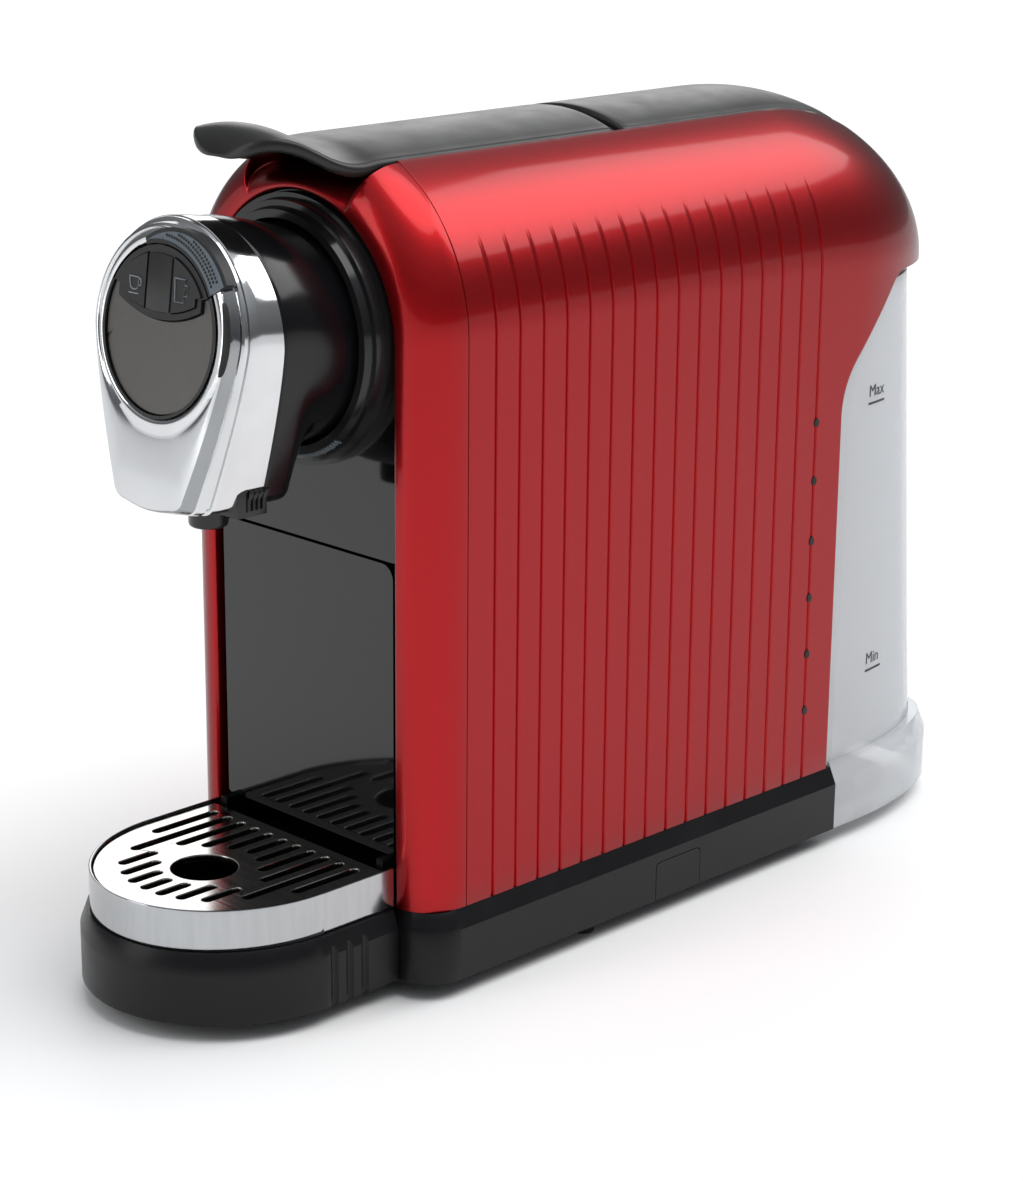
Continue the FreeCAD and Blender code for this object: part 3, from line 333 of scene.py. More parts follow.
def quarter(value, start, reach):
    along = min(max((value - start) / reach, 0.0), 1.0)
    return math.sqrt(1 - along * along)


def body_half(y):
    return BODY_HALF - PLAN_A + PLAN_A * quarter(y, PLAN_Y, PLAN_B)


def body_top(y):
    return SIDE_Z + SIDE_C * quarter(y, SIDE_Y, SIDE_B)


def crown(x):
    return math.sqrt(ARCH_R ** 2 - x * x) - math.sqrt(ARCH_R ** 2 - TOP_HALF ** 2)


def shoulder(y):
    """Centre, radius and end angles of the shoulder arc, and the height where it starts."""
    half, top = body_half(y), body_top(y)
    floor = SWEEP_END_Z - 4.5
    start = floor + (SHOULDER_Z - floor) * (top - floor) / (SHOULDER_TOP - floor)
    a = Vector((half, start))
    b = Vector((TOP_HALF + 0.73 * (half - TOP_HALF), start + 0.587 * (top - start)))
    c = Vector((TOP_HALF, top))
    d = 2 * (a.x * (b.y - c.y) + b.x * (c.y - a.y) + c.x * (a.y - b.y))
    cx = (a.length_squared * (b.y - c.y) + b.length_squared * (c.y - a.y)
          + c.length_squared * (a.y - b.y)) / d
    cz = (a.length_squared * (c.x - b.x) + b.length_squared * (a.x - c.x)
          + c.length_squared * (b.x - a.x)) / d
    centre = Vector((cx, cz))
    angles = [math.atan2(p.y - cz, p.x - cx) for p in (a, c)]
    return centre, (a - centre).length, angles[0], angles[1], start


def panel_low(y):
    """Lower edge of the red panel: level, then sweeping up over the tank."""
    if y <= REAR_EDGE_Y:
        return PANEL_LOW_Z
    if y < 105.0:
        return 161.35 + math.sqrt(900.0 - (127.5 - y) ** 2)
    if y < 127.0:
        return 181.2 + (y - 105.0) * (206.1 - 181.2) / 22.0
    if y < 134.5:
        return 199.5 + math.sqrt(100.0 - (134.5 - y) ** 2)
    return SWEEP_END_Z


def groove_depth(y, z):
    nearest = min(abs(y - centre) for centre in GROOVES)
    cut = 1.0 - smooth_step(nearest, 0.28, 0.78)
    return GROOVE_DEPTH * cut * (1.0 - smooth_step(z, GROOVE_TOP_Z - GROOVE_FADE, GROOVE_TOP_Z))


def panel_row(y, flat_rows=22, arc_rows=34):
    """Points of one cross-section of the panel, from the lower edge to the top strip."""
    centre, radius, start_angle, end_angle, start = shoulder(y)
    low = panel_low(y)
    row = []
    for z in spaced(low, max(start, low), flat_rows):
        row.append((body_half(y) - groove_depth(y, z), y, z))
    if low > start:
        start_angle = math.asin(min(max((low - centre.y) / radius, -1.0), 1.0))
        row = [(centre.x + radius * math.cos(start_angle), y, low)] * flat_rows
    for angle in spaced(start_angle, end_angle, arc_rows)[1:]:
        z = centre.y + radius * math.sin(angle)
        reach = radius - groove_depth(y, z)
        row.append((centre.x + reach * math.cos(angle), y, centre.y + reach * math.sin(angle)))
    return row


def panel_stations():
    stations = [PANEL_FRONT_Y, PANEL_FRONT_Y + 0.4, -84.0, -81.0, -78.0]
    for centre in GROOVES:
        stations += [centre - step for step in reversed(GROOVE_STATIONS)]
        stations += [centre + step for step in GROOVE_STATIONS]
        stations += [centre + 3.8, centre + 6.7]
    stations = [y for y in stations if y < 91.0]
    stations += [91.0, 94.0, 96.6, 97.2, REAR_EDGE_Y]
    stations += [REAR_EDGE_Y + step for step in (0.004, 0.06, 0.25, 0.6, 1.2, 2.0, 3.2, 4.6, 6.0)]
    start = math.asin((105.0 - SIDE_Y) / SIDE_B)
    stations += [SIDE_Y + SIDE_B * math.sin(angle)
                 for angle in spaced(start, math.pi / 2, 44)]
    return stations


def side_panels():
    points, faces = grid([panel_row(y) for y in panel_stations()])
    for side, flip in (("right", False), ("left", True)):
        piece = make_piece("panel_" + side, flipped_x(points) if flip else points, faces,
                           "machine", "red_paint", ["side_panel_" + side], 50.0, "red_paint")
        outward_fix(piece, -1.0 if flip else 1.0)
        rounded(solidify(piece, 1.9), 0.35, 2, 60.0)


def outward_fix(piece, sign):
    """Turns an open sheet's faces so that they look away from the middle plane."""
    mesh = piece.data
    total = sum(polygon.normal.x * polygon.area for polygon in mesh.polygons)
    if total * sign < 0:
        mesh.flip_normals()


def vent_notches():
    """Six short slots in the last groove of each side, filled with black as painted shade inside the
    vent holes.
    """
    parts = []
    y = GROOVES[-1]
    for z in VENT_HEIGHTS:
        for side in (1, -1):
            ring = [(y + 1.25 * math.cos(a) + 0.2, z + 1.5 * math.sin(a))
                    for a in (2 * math.pi * k / 16 for k in range(16))]
            rows = [[(side * x, v, w) for v, w in ring] for x in (57.8, 59.75)]
            parts.append(closed_loft(rows))
    make_piece("vent_notches", *merged(parts), "machine", "dark_gap")


# ---- the red front frame -----------------------------------------------------------------------
SEAM_Y, FRONT_Y, OPENING_HALF, OPENING_Z = -86.5, -103.5, 44.0, 212.5
SHOULDER_R, SHOULDER_X = 58.25, 1.25
RECESS_HALF, RECESS_Z = 27.6, 260.9
SHOULDER_END_DEG, RECESS_START_DEG = 59.0, 62.0   # angles round the opening's arch


def frame_outline():
    """Matched inner and outer points of the right half, from the foot to the middle."""
    inner, outer = [], []
    for share in spaced(0, 1, 26):
        inner.append((OPENING_HALF, PANEL_LOW_Z + share * (OPENING_Z - PANEL_LOW_Z)))
        outer.append((BODY_HALF, PANEL_LOW_Z + share * (SHOULDER_Z - PANEL_LOW_Z)))
    ridge = math.acos((RECESS_HALF + 1.0 - SHOULDER_X) / SHOULDER_R)
    for share in spaced(0, 1, 40)[1:]:
        turn = math.radians(SHOULDER_END_DEG) * share
        inner.append((OPENING_HALF * math.cos(turn), OPENING_Z + OPENING_HALF * math.sin(turn)))
        reach = ridge * share
        outer.append((SHOULDER_X + SHOULDER_R * math.cos(reach),
                      SHOULDER_Z + SHOULDER_R * math.sin(reach)))
    top_x, top_z = outer[-1]
    for share in spaced(0, 1, 8)[1:]:
        turn = math.radians(SHOULDER_END_DEG + (RECESS_START_DEG - SHOULDER_END_DEG) * share)
        inner.append((OPENING_HALF * math.cos(turn), OPENING_Z + OPENING_HALF * math.sin(turn)))
        ease = smooth_step(share, 0, 1)
        outer.append((top_x - 1.6 * share, top_z + (RECESS_Z - top_z) * ease))
    edge_x = outer[-1][0]
    for share in spaced(0, 1, 22)[1:]:
        turn = math.radians(RECESS_START_DEG + (90.0 - RECESS_START_DEG) * share)
        inner.append((OPENING_HALF * math.cos(turn), OPENING_Z + OPENING_HALF * math.sin(turn)))
        outer.append((edge_x * (1 - share), RECESS_Z + 0.6 * share))
    return inner, outer


def frame_row(inner, outer, recess):
    """Profile across the frame: seam, rounded shoulder, front edge and inner wall."""
    across = Vector(inner) - Vector(outer)
    width = across.length
    direction = across.normalized()
    row = []

    def put(inset, y):
        spot = Vector(outer) + direction * inset
        row.append((spot.x, y, spot.y))

    full = min(13.4, width - 1.6)
    put(0, SEAM_Y + 6.0 * recess + 0.15)
    put(0, SEAM_Y)
    for angle in spaced(6, 84, 16):
        a = math.radians(angle)
        put(full * (1 - math.cos(a)), SEAM_Y - (SEAM_Y - FRONT_Y) * math.sin(a))
    for angle in spaced(0, 90, 6):
        a = math.radians(angle)
        put(width - 1.3 + 1.3 * math.sin(a), FRONT_Y + 1.3 * (1 - math.cos(a)))
    put(width, FRONT_Y + 3.2)
    put(width, FRONT_Y + 7.0)
    return row


def front_frame():
    inner, outer = frame_outline()
    rows = []
    for (ix, iz), (ox, oz) in zip(inner, outer):
        recess = 1.0 if oz < SHOULDER_TOP - 2 and ox < RECESS_HALF + 0.2 and oz > 240 else 0.0
        rows.append(frame_row((ix, iz), (ox, oz), recess))
    left = [flipped_x(row) for row in rows[:-1]]
    points, faces = grid(rows + left[::-1])
    piece = make_piece("front_frame", points, faces, "machine", "red_paint",
                       ["front_fascia"], 60.0, "red_paint")
    centre = sum(p.normal.y * p.area for p in piece.data.polygons)
    if centre > 0:
        piece.data.flip_normals()
    rounded(solidify(piece, 1.3), 0.25, 2, 70.0)


# ---- lever, rear cover and tank lid ------------------------------------------------------------
LIP = [(-80.0, 272.72), (-86.0, 272.75), (-92, 272.6), (-98, 272.1), (-104, 272.6),
       (-110, 274.3), (-116, 276.8), (-121, 278.7), (-126, 279.2), (-130, 278.0),
       (-133, 275.3), (-134.6, 273.2), (-135.2, 272.3)]
LEVER_REAR_Y, LEVER_HALF, LEVER_THICK = 11.5, 27.1, 4.4
LIP_START_Y, LIP_REACH = -100.0, 35.0
CREST_Z = SHOULDER_TOP + crown(0)


def through(points, value):
    """Smooth value of a table of (place, height) with falling places."""
    last = len(points) - 1
    for i in range(last):
        (y0, z0), (y1, z1) = points[i], points[i + 1]
        if y1 <= value <= y0:
            before = points[max(i - 1, 0)]
            after = points[min(i + 2, last)]
            slope0 = (z1 - before[1]) / (y1 - before[0]) if before[0] != y1 else 0.0
            slope1 = (after[1] - z0) / (after[0] - y0) if after[0] != y0 else 0.0
            t = (value - y0) / (y1 - y0)
            step = y1 - y0
            return ((2 * t ** 3 - 3 * t ** 2 + 1) * z0 + (t ** 3 - 2 * t ** 2 + t) * step * slope0
                    + (3 * t ** 2 - 2 * t ** 3) * z1 + (t ** 3 - t ** 2) * step * slope1)
    return points[0][1] if value > points[0][0] else points[last][1]


def strip_ring(y, half, crest, thickness, edge, across=26, rise=1.0):
    """Closed section of the crowned strip with rounded sides."""
    edge = min(edge, half * 0.8)

    def top(x):
        return crest - rise * (crown(0) - crown(x))

    flat = half - edge
    ring = [(x, y, top(x)) for x in spaced(-flat, flat, across)]
    middle = top(flat) - thickness / 2
    turn = [math.radians(a) for a in (67.5, 45, 22.5, 0, -22.5, -45, -67.5)]
    ring += [(flat + edge * math.cos(a), y, middle + thickness / 2 * math.sin(a)) for a in turn]
    ring += [(x, y, top(x) - thickness) for x in spaced(flat, -flat, across)]
    ring += [(-flat - edge * math.cos(a), y, middle + thickness / 2 * math.sin(a))
             for a in reversed(turn)]
    return ring


def lever_handle():
    rows = []
    stations = [LEVER_REAR_Y, LEVER_REAR_Y - 0.35, LEVER_REAR_Y - 1.0]
    stations += spaced(LEVER_REAR_Y - 4, -84, 14) + spaced(-86, -126, 31)
    stations += [-134.95 + 9.0 * (1 - math.sin(math.radians(a))) for a in spaced(0, 90, 22)]
    for i, y in enumerate(stations):
        along = min(max((LIP_START_Y - y) / LIP_REACH, 0), 0.9998)
        half = LEVER_HALF * (1 - along ** 2.4) ** (1 / 2.4)
        crest = through(LIP, y) if y < -80 else CREST_Z
        nose = min(max((-131.6 - y) / 3.4, 0.0), 0.995)
        rear = (0.86, 0.96, 1.0)[i] if i < 3 else 1.0
        thick = LEVER_THICK * math.sqrt(1 - nose * nose) * rear
        rows.append(strip_ring(y, half - (1 - rear) * 2, crest - (LEVER_THICK - thick) / 2,
                               thick, 1.9))
    make_piece("lever_handle", *closed_loft(rows), "lever", "satin_black", ["lever"], 60.0,
               "satin_black")


AXLE = Vector((0.0, 5.5, 257.0))
CRANK_R, LEVER_TRAVEL_DEG = 25.0, 60.0


def round_bar(x0, x1, y, z, radius, sides=40, inner=0.0):
    """Bar along X with softened ends, or a sleeve when inner is given."""
    soft = 0.3

    def ring(x, r):
        return [(x, y + r * math.cos(a), z + r * math.sin(a))
                for a in (2 * math.pi * k / sides for k in range(sides))]
    rows = [ring(x0, radius - soft), ring(x0 + soft, radius), ring(x1 - soft, radius),
            ring(x1, radius - soft)]
    if inner:
        rows += [ring(x1, inner), ring(x0, inner), rows[0]]
        return grid(rows, wrap=True)
    return closed_loft(rows)


def lever_arms():
    """Hub, crank arms, ribs and the rolled closing edge under the handle."""
    swing = math.radians(LEVER_TRAVEL_DEG / 2)
    pin = AXLE + Vector((0, CRANK_R * math.sin(swing), -CRANK_R * math.cos(swing)))
    parts = [round_bar(-17.5, 17.5, AXLE.y, AXLE.z, 6.0, inner=2.6)]
    lean = Vector((0, math.cos(swing), math.sin(swing))) * 5.0
    for side in (1, -1):
        x0, x1 = (13.5, 17.5) if side > 0 else (-17.5, -13.5)
        corners = [AXLE - lean, AXLE + lean, pin + lean, pin - lean]
        parts.append(closed_loft([[(x, c.y, c.z) for c in corners] for x in (x0, x1)]))
        parts.append(round_bar(x0, x1, pin.y, pin.z, 5.0))
        rib = [(AXLE.y - 5, AXLE.z), (AXLE.y + 3, AXLE.z), (AXLE.y + 3, 267.5),
               (AXLE.y - 5, 267.5)]
        parts.append(closed_loft([[(x, y, z) for y, z in rib] for x in (x0, x1)]))
    curl = []
    for x in spaced(-LEVER_HALF + 0.4, LEVER_HALF - 0.4, 25):
        limit = SHOULDER_TOP + crown(x) - 1.6 - AXLE.z
        ring = [(r, a) for r in (13.0, 10.4) for a in (88, 78, 68, 58, 48, 40)]
        ring = ring[:6] + ring[6:][::-1]
        curl.append([(x, AXLE.y + r * math.cos(math.radians(a)),
                      AXLE.z + min(r * math.sin(math.radians(a)), limit)) for r, a in ring])
    parts.append(closed_loft(curl))
    make_piece("lever_arms", *merged(parts), "lever", "inner_plastic")


def rear_cover():
    rows = []
    start = AXLE.y + 11.1
    stations = [start, start + 0.3, start + 0.9] + spaced(start + 4, 84, 10)
    stations += [SIDE_Y + SIDE_B * math.sin(math.radians(a)) for a in spaced(0, 28.6, 22)]
    stations += [126.1, 126.4]
    for i, y in enumerate(stations):
        trim = {0: 0.5, 1: 0.15, len(stations) - 1: 0.4}.get(i, 0.0)
        rows.append(strip_ring(y, TOP_HALF - 0.35 - trim * 0.4, body_top(y) + crown(0) - trim,
                               2.6 - trim, 1.1))
    make_piece("rear_cover", *closed_loft(rows), "machine", "satin_black", ["rear_top_cover"],
               60.0, "satin_black")


def tank_lid_cap():
    """Lid that carries the top strip on down the rear of the tank."""
    rows = []
    stations = [127.6, 127.9, 128.6] + [SIDE_Y + SIDE_B * math.sin(math.radians(a))
                                        for a in spaced(31.6, 61.4, 20)] + [157.4]
    for i, y in enumerate(stations):
        trim = {0: 0.4, 1: 0.12, len(stations) - 1: 0.5}.get(i, 0.0)
        rise = 1.0 - 0.75 * smooth_step(y, 127, 160)
        crest = body_top(y) - 0.9 + rise * crown(0) - trim
        rows.append(strip_ring(y, 26.4 - trim * 0.4, crest, 2.8 - trim, 1.1, rise=rise))
    make_piece("tank_lid_cap", *closed_loft(rows), "tank_lid", "satin_black", (), 60.0,
               "satin_black")


# ---- coffee head -------------------------------------------------------------------------------
HEAD = Vector((0.0, -157.6, 220.0))
TILT = math.radians(7.5)
INWARD = Vector((0, math.cos(TILT), -math.sin(TILT)))
FACE_UP = Vector((0, math.sin(TILT), math.cos(TILT)))
DISC_R = 25.5
SLIT_R, SLIT_TOP_DEG, SLIT_END_DEG = 30.6, 23, -19
NECK_R, NECK_BLEND_Y = 34.4, -139.0
SPOUT_Y, SPOUT_R = -141.0, 6.3
WINDOW_U, WINDOW_V, WINDOW_R = 6.6, 4.2, 26.5     # centre and radius of the crescent


def face_point(u, v, depth):
    return tuple(HEAD + Vector((u, 0, 0)) + FACE_UP * v + INWARD * depth)


def shield_half(radius, height, waist, corner=5.0):
    """Right half of the shield outline round its own centre, from the top to the bottom."""
    half = []
    for angle in spaced(90, 0, 26):
        a = math.radians(angle)
        half.append((radius * math.cos(a), radius * math.sin(a)))
    end = 1.0 - corner / height
    for share in spaced(0, end, 26)[1:]:
        half.append((radius * (1 - (1 - waist) * share ** 1.3), -share * height))
    foot_x, foot_z = half[-1]
    for angle in spaced(0, 90, 9)[1:]:
        a = math.radians(angle)
        half.append((foot_x - corner * (1 - math.cos(a)) - 1.0 * math.sin(a) * 0.4,
                     foot_z - (corner - 1.4) * math.sin(a)))
    foot_x, foot_z = half[-1]
    for share in spaced(0, 1, 9)[1:]:
        half.append((foot_x * (1 - share), foot_z - 1.4 * math.sin(share * math.pi / 2)))
    return half


def whole(half):
    """Closed ring from a right half that starts and ends on the middle."""
    return half + [(-x, z) for x, z in half[-2:0:-1]]


def shield_ring(y, radius, centre_z, bottom_z, waist, lean=1.0):
    ring = []
    for x, dz in whole(shield_half(radius, centre_z - bottom_z, waist)):
        z = centre_z + dz
        ring.append((x, y + lean * (z - HEAD.z) * math.tan(TILT), z))
    return ring


def circle_ring(u0, v0, radius, depth, pattern):
    """Circle on the leaning face whose points lie at the same angles as the pattern's."""
    return [face_point(u0 + radius * math.sin(math.atan2(x, z)),
                       v0 + radius * math.cos(math.atan2(x, z)), depth) for x, z in pattern]


def between(first, second, share, bulge=0.0):
    mixed = []
    for p, q in zip(first, second):
        spot = Vector(p).lerp(Vector(q), share) - INWARD * bulge
        mixed.append(tuple(spot))
    return mixed


def chrome_shell():
    pattern = whole(shield_half(31.8, 54.0, 0.46))
    edge = shield_ring(-158.1, 31.6, 219.6, 166.0, 0.46)
    ring_out = circle_ring(1.0, 0.6, 30.2, -0.55, pattern)
    rows = [
        circle_ring(0, 0, DISC_R + 1.0, 2.6, pattern),
        circle_ring(0, 0, DISC_R + 1.0, 0.2, pattern),
        circle_ring(0, 0, DISC_R + 1.25, -0.5, pattern),
        circle_ring(0, 0, DISC_R + 1.9, -0.95, pattern),
        circle_ring(0.2, 0.1, DISC_R + 2.9, -1.15, pattern),
        circle_ring(0.6, 0.4, DISC_R + 3.9, -0.95, pattern),
        ring_out,
    ]
    rows += [between(ring_out, edge, share, 0.5 * math.sin(math.pi * share))
             for share in (0.12, 0.3, 0.5, 0.7, 0.88)]
    channel = [
        edge,
        shield_ring(-157.7, 32.2, 219.5, 165.4, 0.455),
        shield_ring(-156.6, 32.6, 219.4, 165.0, 0.475),
        shield_ring(-155.4, 32.9, 219.3, 164.8, 0.50),
        shield_ring(-154.6, 33.3, 219.2, 164.7, 0.52),
    ]
    step = [
        channel[-1],
        shield_ring(-154.5, 33.9, 219.0, 164.6, 0.545),
        shield_ring(-153.9, 34.5, 218.9, 164.5, 0.57, 0.9),
        shield_ring(-153.0, 34.7, 218.8, 164.5, 0.58, 0.9),
        shield_ring(-152.7, 34.2, 218.8, 164.9, 0.57, 0.85),
        shield_ring(-152.3, 34.3, 218.7, 164.9, 0.575, 0.8),
        shield_ring(-152.2, 35.1, 218.6, 164.3, 0.595, 0.75),
        shield_ring(-151.4, 35.45, 218.4, 164.2, 0.605, 0.6),
        shield_ring(-148.0, 35.65, 218.0, 164.1, 0.615, 0.4),
        shield_ring(-144.0, 35.75, 217.5, 164.0, 0.62, 0.2),
        shield_ring(-139.6, 35.8, 217.0, 164.0, 0.62, 0.0),
        shield_ring(-139.25, 35.5, 217.0, 164.3, 0.62, 0.0),
    ]
    rows.append(edge)
    make_piece("chrome_shell", *grid(rows, wrap=True), "machine", "chrome", ["head_shell"], 50.0,
               "chrome")
    # the channel wears the darker chrome copy: painted shade standing in for a darker reflection
    make_piece("chrome_channel", *grid(channel, wrap=True), "machine", "shaded_chrome", (), 50.0,
               "chrome")
    make_piece("chrome_side", *grid(step, wrap=True), "machine", "chrome", (), 30.0, "chrome")
    # black piece along the chrome's slit: painted shade of the gap
    gap = []
    for angle in spaced(SLIT_TOP_DEG, SLIT_END_DEG, 24):
        a = math.radians(angle)
        share = (SLIT_TOP_DEG - angle) / (SLIT_TOP_DEG - SLIT_END_DEG)
        width = 0.85 * max(math.sin(math.pi * share), 0.0) ** 0.5 + 0.02
        gap.append([face_point(1.0 + (SLIT_R + w * width) * math.cos(a),
                               0.6 + (SLIT_R + w * width) * math.sin(a), d)
                    for w, d in ((-1, -1.7), (1, -1.7), (1, -0.1), (-1, -0.1))])
    make_piece("shell_slit", *closed_loft(gap), "machine", "dark_gap")


def neck_housing():
    """Round neck that widens into the shield outline behind the chrome shell."""
    pattern = whole(shield_half(35.0, 52.0, 0.62))
    rows = []
    for y in [-97.0, -104.0] + spaced(-107, -138.8, 34) + [-139.2]:
        edge = 0.25 if y < NECK_BLEND_Y else 0.0
        round_ring = [(NECK_R * math.sin(math.atan2(x, z)), y,
                       OPENING_Z + NECK_R * math.cos(math.atan2(x, z))) for x, z in pattern]
        square_ring = shield_ring(y, 35.5 - edge, 217.0, 164.4 + edge, 0.62, 0.0)
        row = []
        for (_, pz), a, b in zip(pattern, round_ring, square_ring):
            low = smooth_step(-pz, 2.0, 34.0)
            share = (smooth_step(-y, 107.0, -NECK_BLEND_Y) * (1 - low)
                     + smooth_step(-y, 117.0, 130.0) * low)
            row.append(tuple(Vector(a).lerp(Vector(b), share)))
        rows.append(row)
    make_piece("neck_housing", *closed_loft(rows), "machine", "housing_black",
               ["head_housing"], 50.0, "satin_black")


def spout_tip():
    """Short round outlet under the head, with a softened lower edge and a bore."""
    def ring(z, r):
        return [(r * math.cos(a), SPOUT_Y + r * math.sin(a), z)
                for a in (2 * math.pi * k / 48 for k in range(48))]
    rows = [ring(z, r) for z, r in ((186, SPOUT_R), (157.2, SPOUT_R), (156.4, 6.0), (156.0, 5.4),
                                    (156.0, 3.0), (156.2, 2.6), (170.0, 2.4))]
    make_piece("spout_tip", *grid(rows, wrap=True), "spout", "spout_plastic", ["spout"], 40.0,
               "spout_plastic")


def side_catch():
    """Small ribbed latch at the lower corner of the shell."""
    def corner(y0, y1, z0, z1, x0, x1):
        rows = []
        for x, trim in ((x0, 0.0), (x1 - 0.5, 0.0), (x1 - 0.15, 0.2), (x1, 0.6)):
            rows.append([(x, y, z) for y, z in ((y0 + trim, z0 + trim),
                                                (y1 - trim, z0 + trim),
                                                (y1 - trim, z1 - trim),
                                                (y0 + trim + 2.6, z1 - trim),
                                                (y0 + trim, z1 - trim - 2.6))])
        return closed_loft(rows)
    parts = [corner(-149.5, -138.0, 164.3, 174.6, 15.0, 25.0)]
    for i in range(4):
        parts.append(corner(-146.4 + 1.9 * i, -145.4 + 1.9 * i, 166.2, 172.6, 24.0, 25.9))
    make_piece("side_catch", *merged(parts), "machine", "spout_plastic", ["spout_catch"], 30.0,
               "satin_black")


def flat_plate(outline, depth0, depth1, edge=0.25):
    """Closed plate on the leaning face with a softened front edge, from (u, v) points."""
    middle = Vector((sum(u for u, _ in outline) / len(outline),
                     sum(v for _, v in outline) / len(outline)))

    def ring(depth, shrink):
        out = []
        for u, v in outline:
            away = Vector((u, v)) - middle
            spot = middle + away * (1 - shrink / max(away.length, 0.5))
            out.append(face_point(spot.x, spot.y, depth))
        return out
    return closed_loft([ring(depth1, 0), ring(depth0 + edge, 0), ring(depth0, edge)])


def crescent_window():
    def strip(grow, depth0, depth1):
        outer = [(WINDOW_U + (WINDOW_R + grow) * math.cos(math.radians(a)),
                  WINDOW_V + (WINDOW_R + grow) * math.sin(math.radians(a)))
                 for a in spaced(30, 124, 40)]
        radius = DISC_R + 1.7 - grow
        inner = []
        for u, v in outer:
            a = math.atan2(v, u)
            reach = min(radius, math.hypot(u, v) - 0.1)
            inner.append((reach * math.cos(a), reach * math.sin(a)))
        rows = []
        for (u0, v0), (u1, v1) in zip(outer, inner):
            rows.append([face_point(u0, v0, depth0), face_point(u1, v1, depth0),
                         face_point(u1, v1, depth1), face_point(u0, v0, depth1)])
        return closed_loft(rows)
    make_piece("window_border", *strip(1.0, -1.5, 2.4), "machine", "key_rubber",
               ["indicator_window"])
    make_piece("window_strip", *strip(-0.3, -1.85, 0.0), "machine", "window_grey")
    # dark dots on the strip: painted shade in the window's perforation holes
    dots = []
    for row, radius in enumerate((29.0, 30.5, 31.9)):
        for i in range(36):
            a = math.radians(35 + 2.35 * (i + 0.5 * (row % 2)))
            u, v = radius * math.cos(a), radius * math.sin(a)
            inside = math.hypot(u - WINDOW_U, v - WINDOW_V) < WINDOW_R - 1.0 and radius > DISC_R + 2.4
            if inside:
                ring = [(u + 0.48 * math.cos(b), v + 0.48 * math.sin(b))
                        for b in (2 * math.pi * k / 10 for k in range(10))]
                dots.append(closed_loft([[face_point(p, q, d) for p, q in ring]
                                         for d in (-1.80, -1.95)]))
    make_piece("window_dots", *merged(dots), "machine", "dark_gap")


def line_mark(points, depth, width=0.42):
    """Thin raised line along (u, v) points of the leaning face."""
    path = [Vector(face_point(u, v, depth - MARK_LIFT)) for u, v in points]
    return closed_loft(tube_rows(path, width / 2, 8))


KEY_TOP, MARK_LIFT = -2.2, 0.12


def arc_points(cu, cv, radius, start, end, count=14):
    return [(cu + radius * math.cos(math.radians(a)), cv + radius * math.sin(math.radians(a)))
            for a in spaced(start, end, count)]


def key_icons():
    """Small cup on one key and tall mug on the other."""
    outline = [(u, 46 - math.sqrt(40.3 ** 2 - u * u)) for u in spaced(-5.6, 5.6, 9)]
    outline += [(u, math.sqrt(23.3 ** 2 - u * u)) for u in spaced(5.6, -5.6, 9)]
    make_piece("key_middle", *flat_plate(outline, KEY_TOP - 0.02, -1.4, 0.3), "machine",
               "key_rubber", (), 60.0, "key_rubber")
    cup = [(-13.8, 14.8), (-13.5, 12.6), (-12.9, 11.4), (-12.2, 11.0), (-10.8, 11.0),
           (-10.1, 11.4), (-9.5, 12.6), (-9.2, 14.8), (-13.8, 14.8)]
    small = [line_mark(cup, KEY_TOP), line_mark([(-13.8, 9.8), (-9.2, 9.8)], KEY_TOP),
             line_mark(arc_points(-9.4, 13.4, 1.2, 75, -80), KEY_TOP)]
    make_piece("espresso_icon", *merged(small), "espresso_key", "icon_line")
    mug = [(7.6, 17.0), (8.2, 10.0), (12.0, 10.0), (12.6, 17.0), (7.6, 17.0)]
    large = [line_mark(mug, KEY_TOP),
             line_mark([(12.5, 15.4), (13.8, 15.2), (13.6, 12.2), (12.3, 12.0)], KEY_TOP)]
    make_piece("lungo_icon", *merged(large), "lungo_key", "icon_line")


def neck_ticks():
    """Fine generic tick marks round the underside of the neck ring."""
    parts = []
    for i in range(15):
        a = math.radians(-52 - 2.1 * i)
        size = 1.9 if i % 3 else 2.6
        out, side = Vector((math.cos(a), 0, math.sin(a))), Vector((-math.sin(a), 0, math.cos(a)))
        centre = Vector((0, 0, OPENING_Z)) + out * 38.9
        rows = []
        for y in (-109.6, -109.6 + size):
            base = centre + Vector((0, y, 0)) + out * (0.35 * (y + 110))
            rows.append([tuple(base + side * s + out * r)
                         for s, r in ((-0.22, -0.4), (0.22, -0.4), (0.22, 0.28), (-0.22, 0.28))])
        parts.append(closed_loft(rows))
    make_piece("neck_ticks", *merged(parts), "machine", "icon_line")


# ---- tank details ------------------------------------------------------------------------------
TANK_REAR_Y, TANK_FOOT_Z, TANK_LEAN = 178.2, 29.6, 0.0975
TANK_CORNER_Y, TANK_FLAT_HALF, TANK_CORNER = 103.0, 28.1, 29.5


def tank_side(y, z):
    """Half width of the tank's outside at a place."""
    rear = TANK_REAR_Y - (z - TANK_FOOT_Z) * TANK_LEAN
    along = min(max((y - TANK_CORNER_Y) / (rear - TANK_CORNER_Y), 0.0), 1.0)
    return TANK_FLAT_HALF + TANK_CORNER * math.sqrt(1 - along * along)


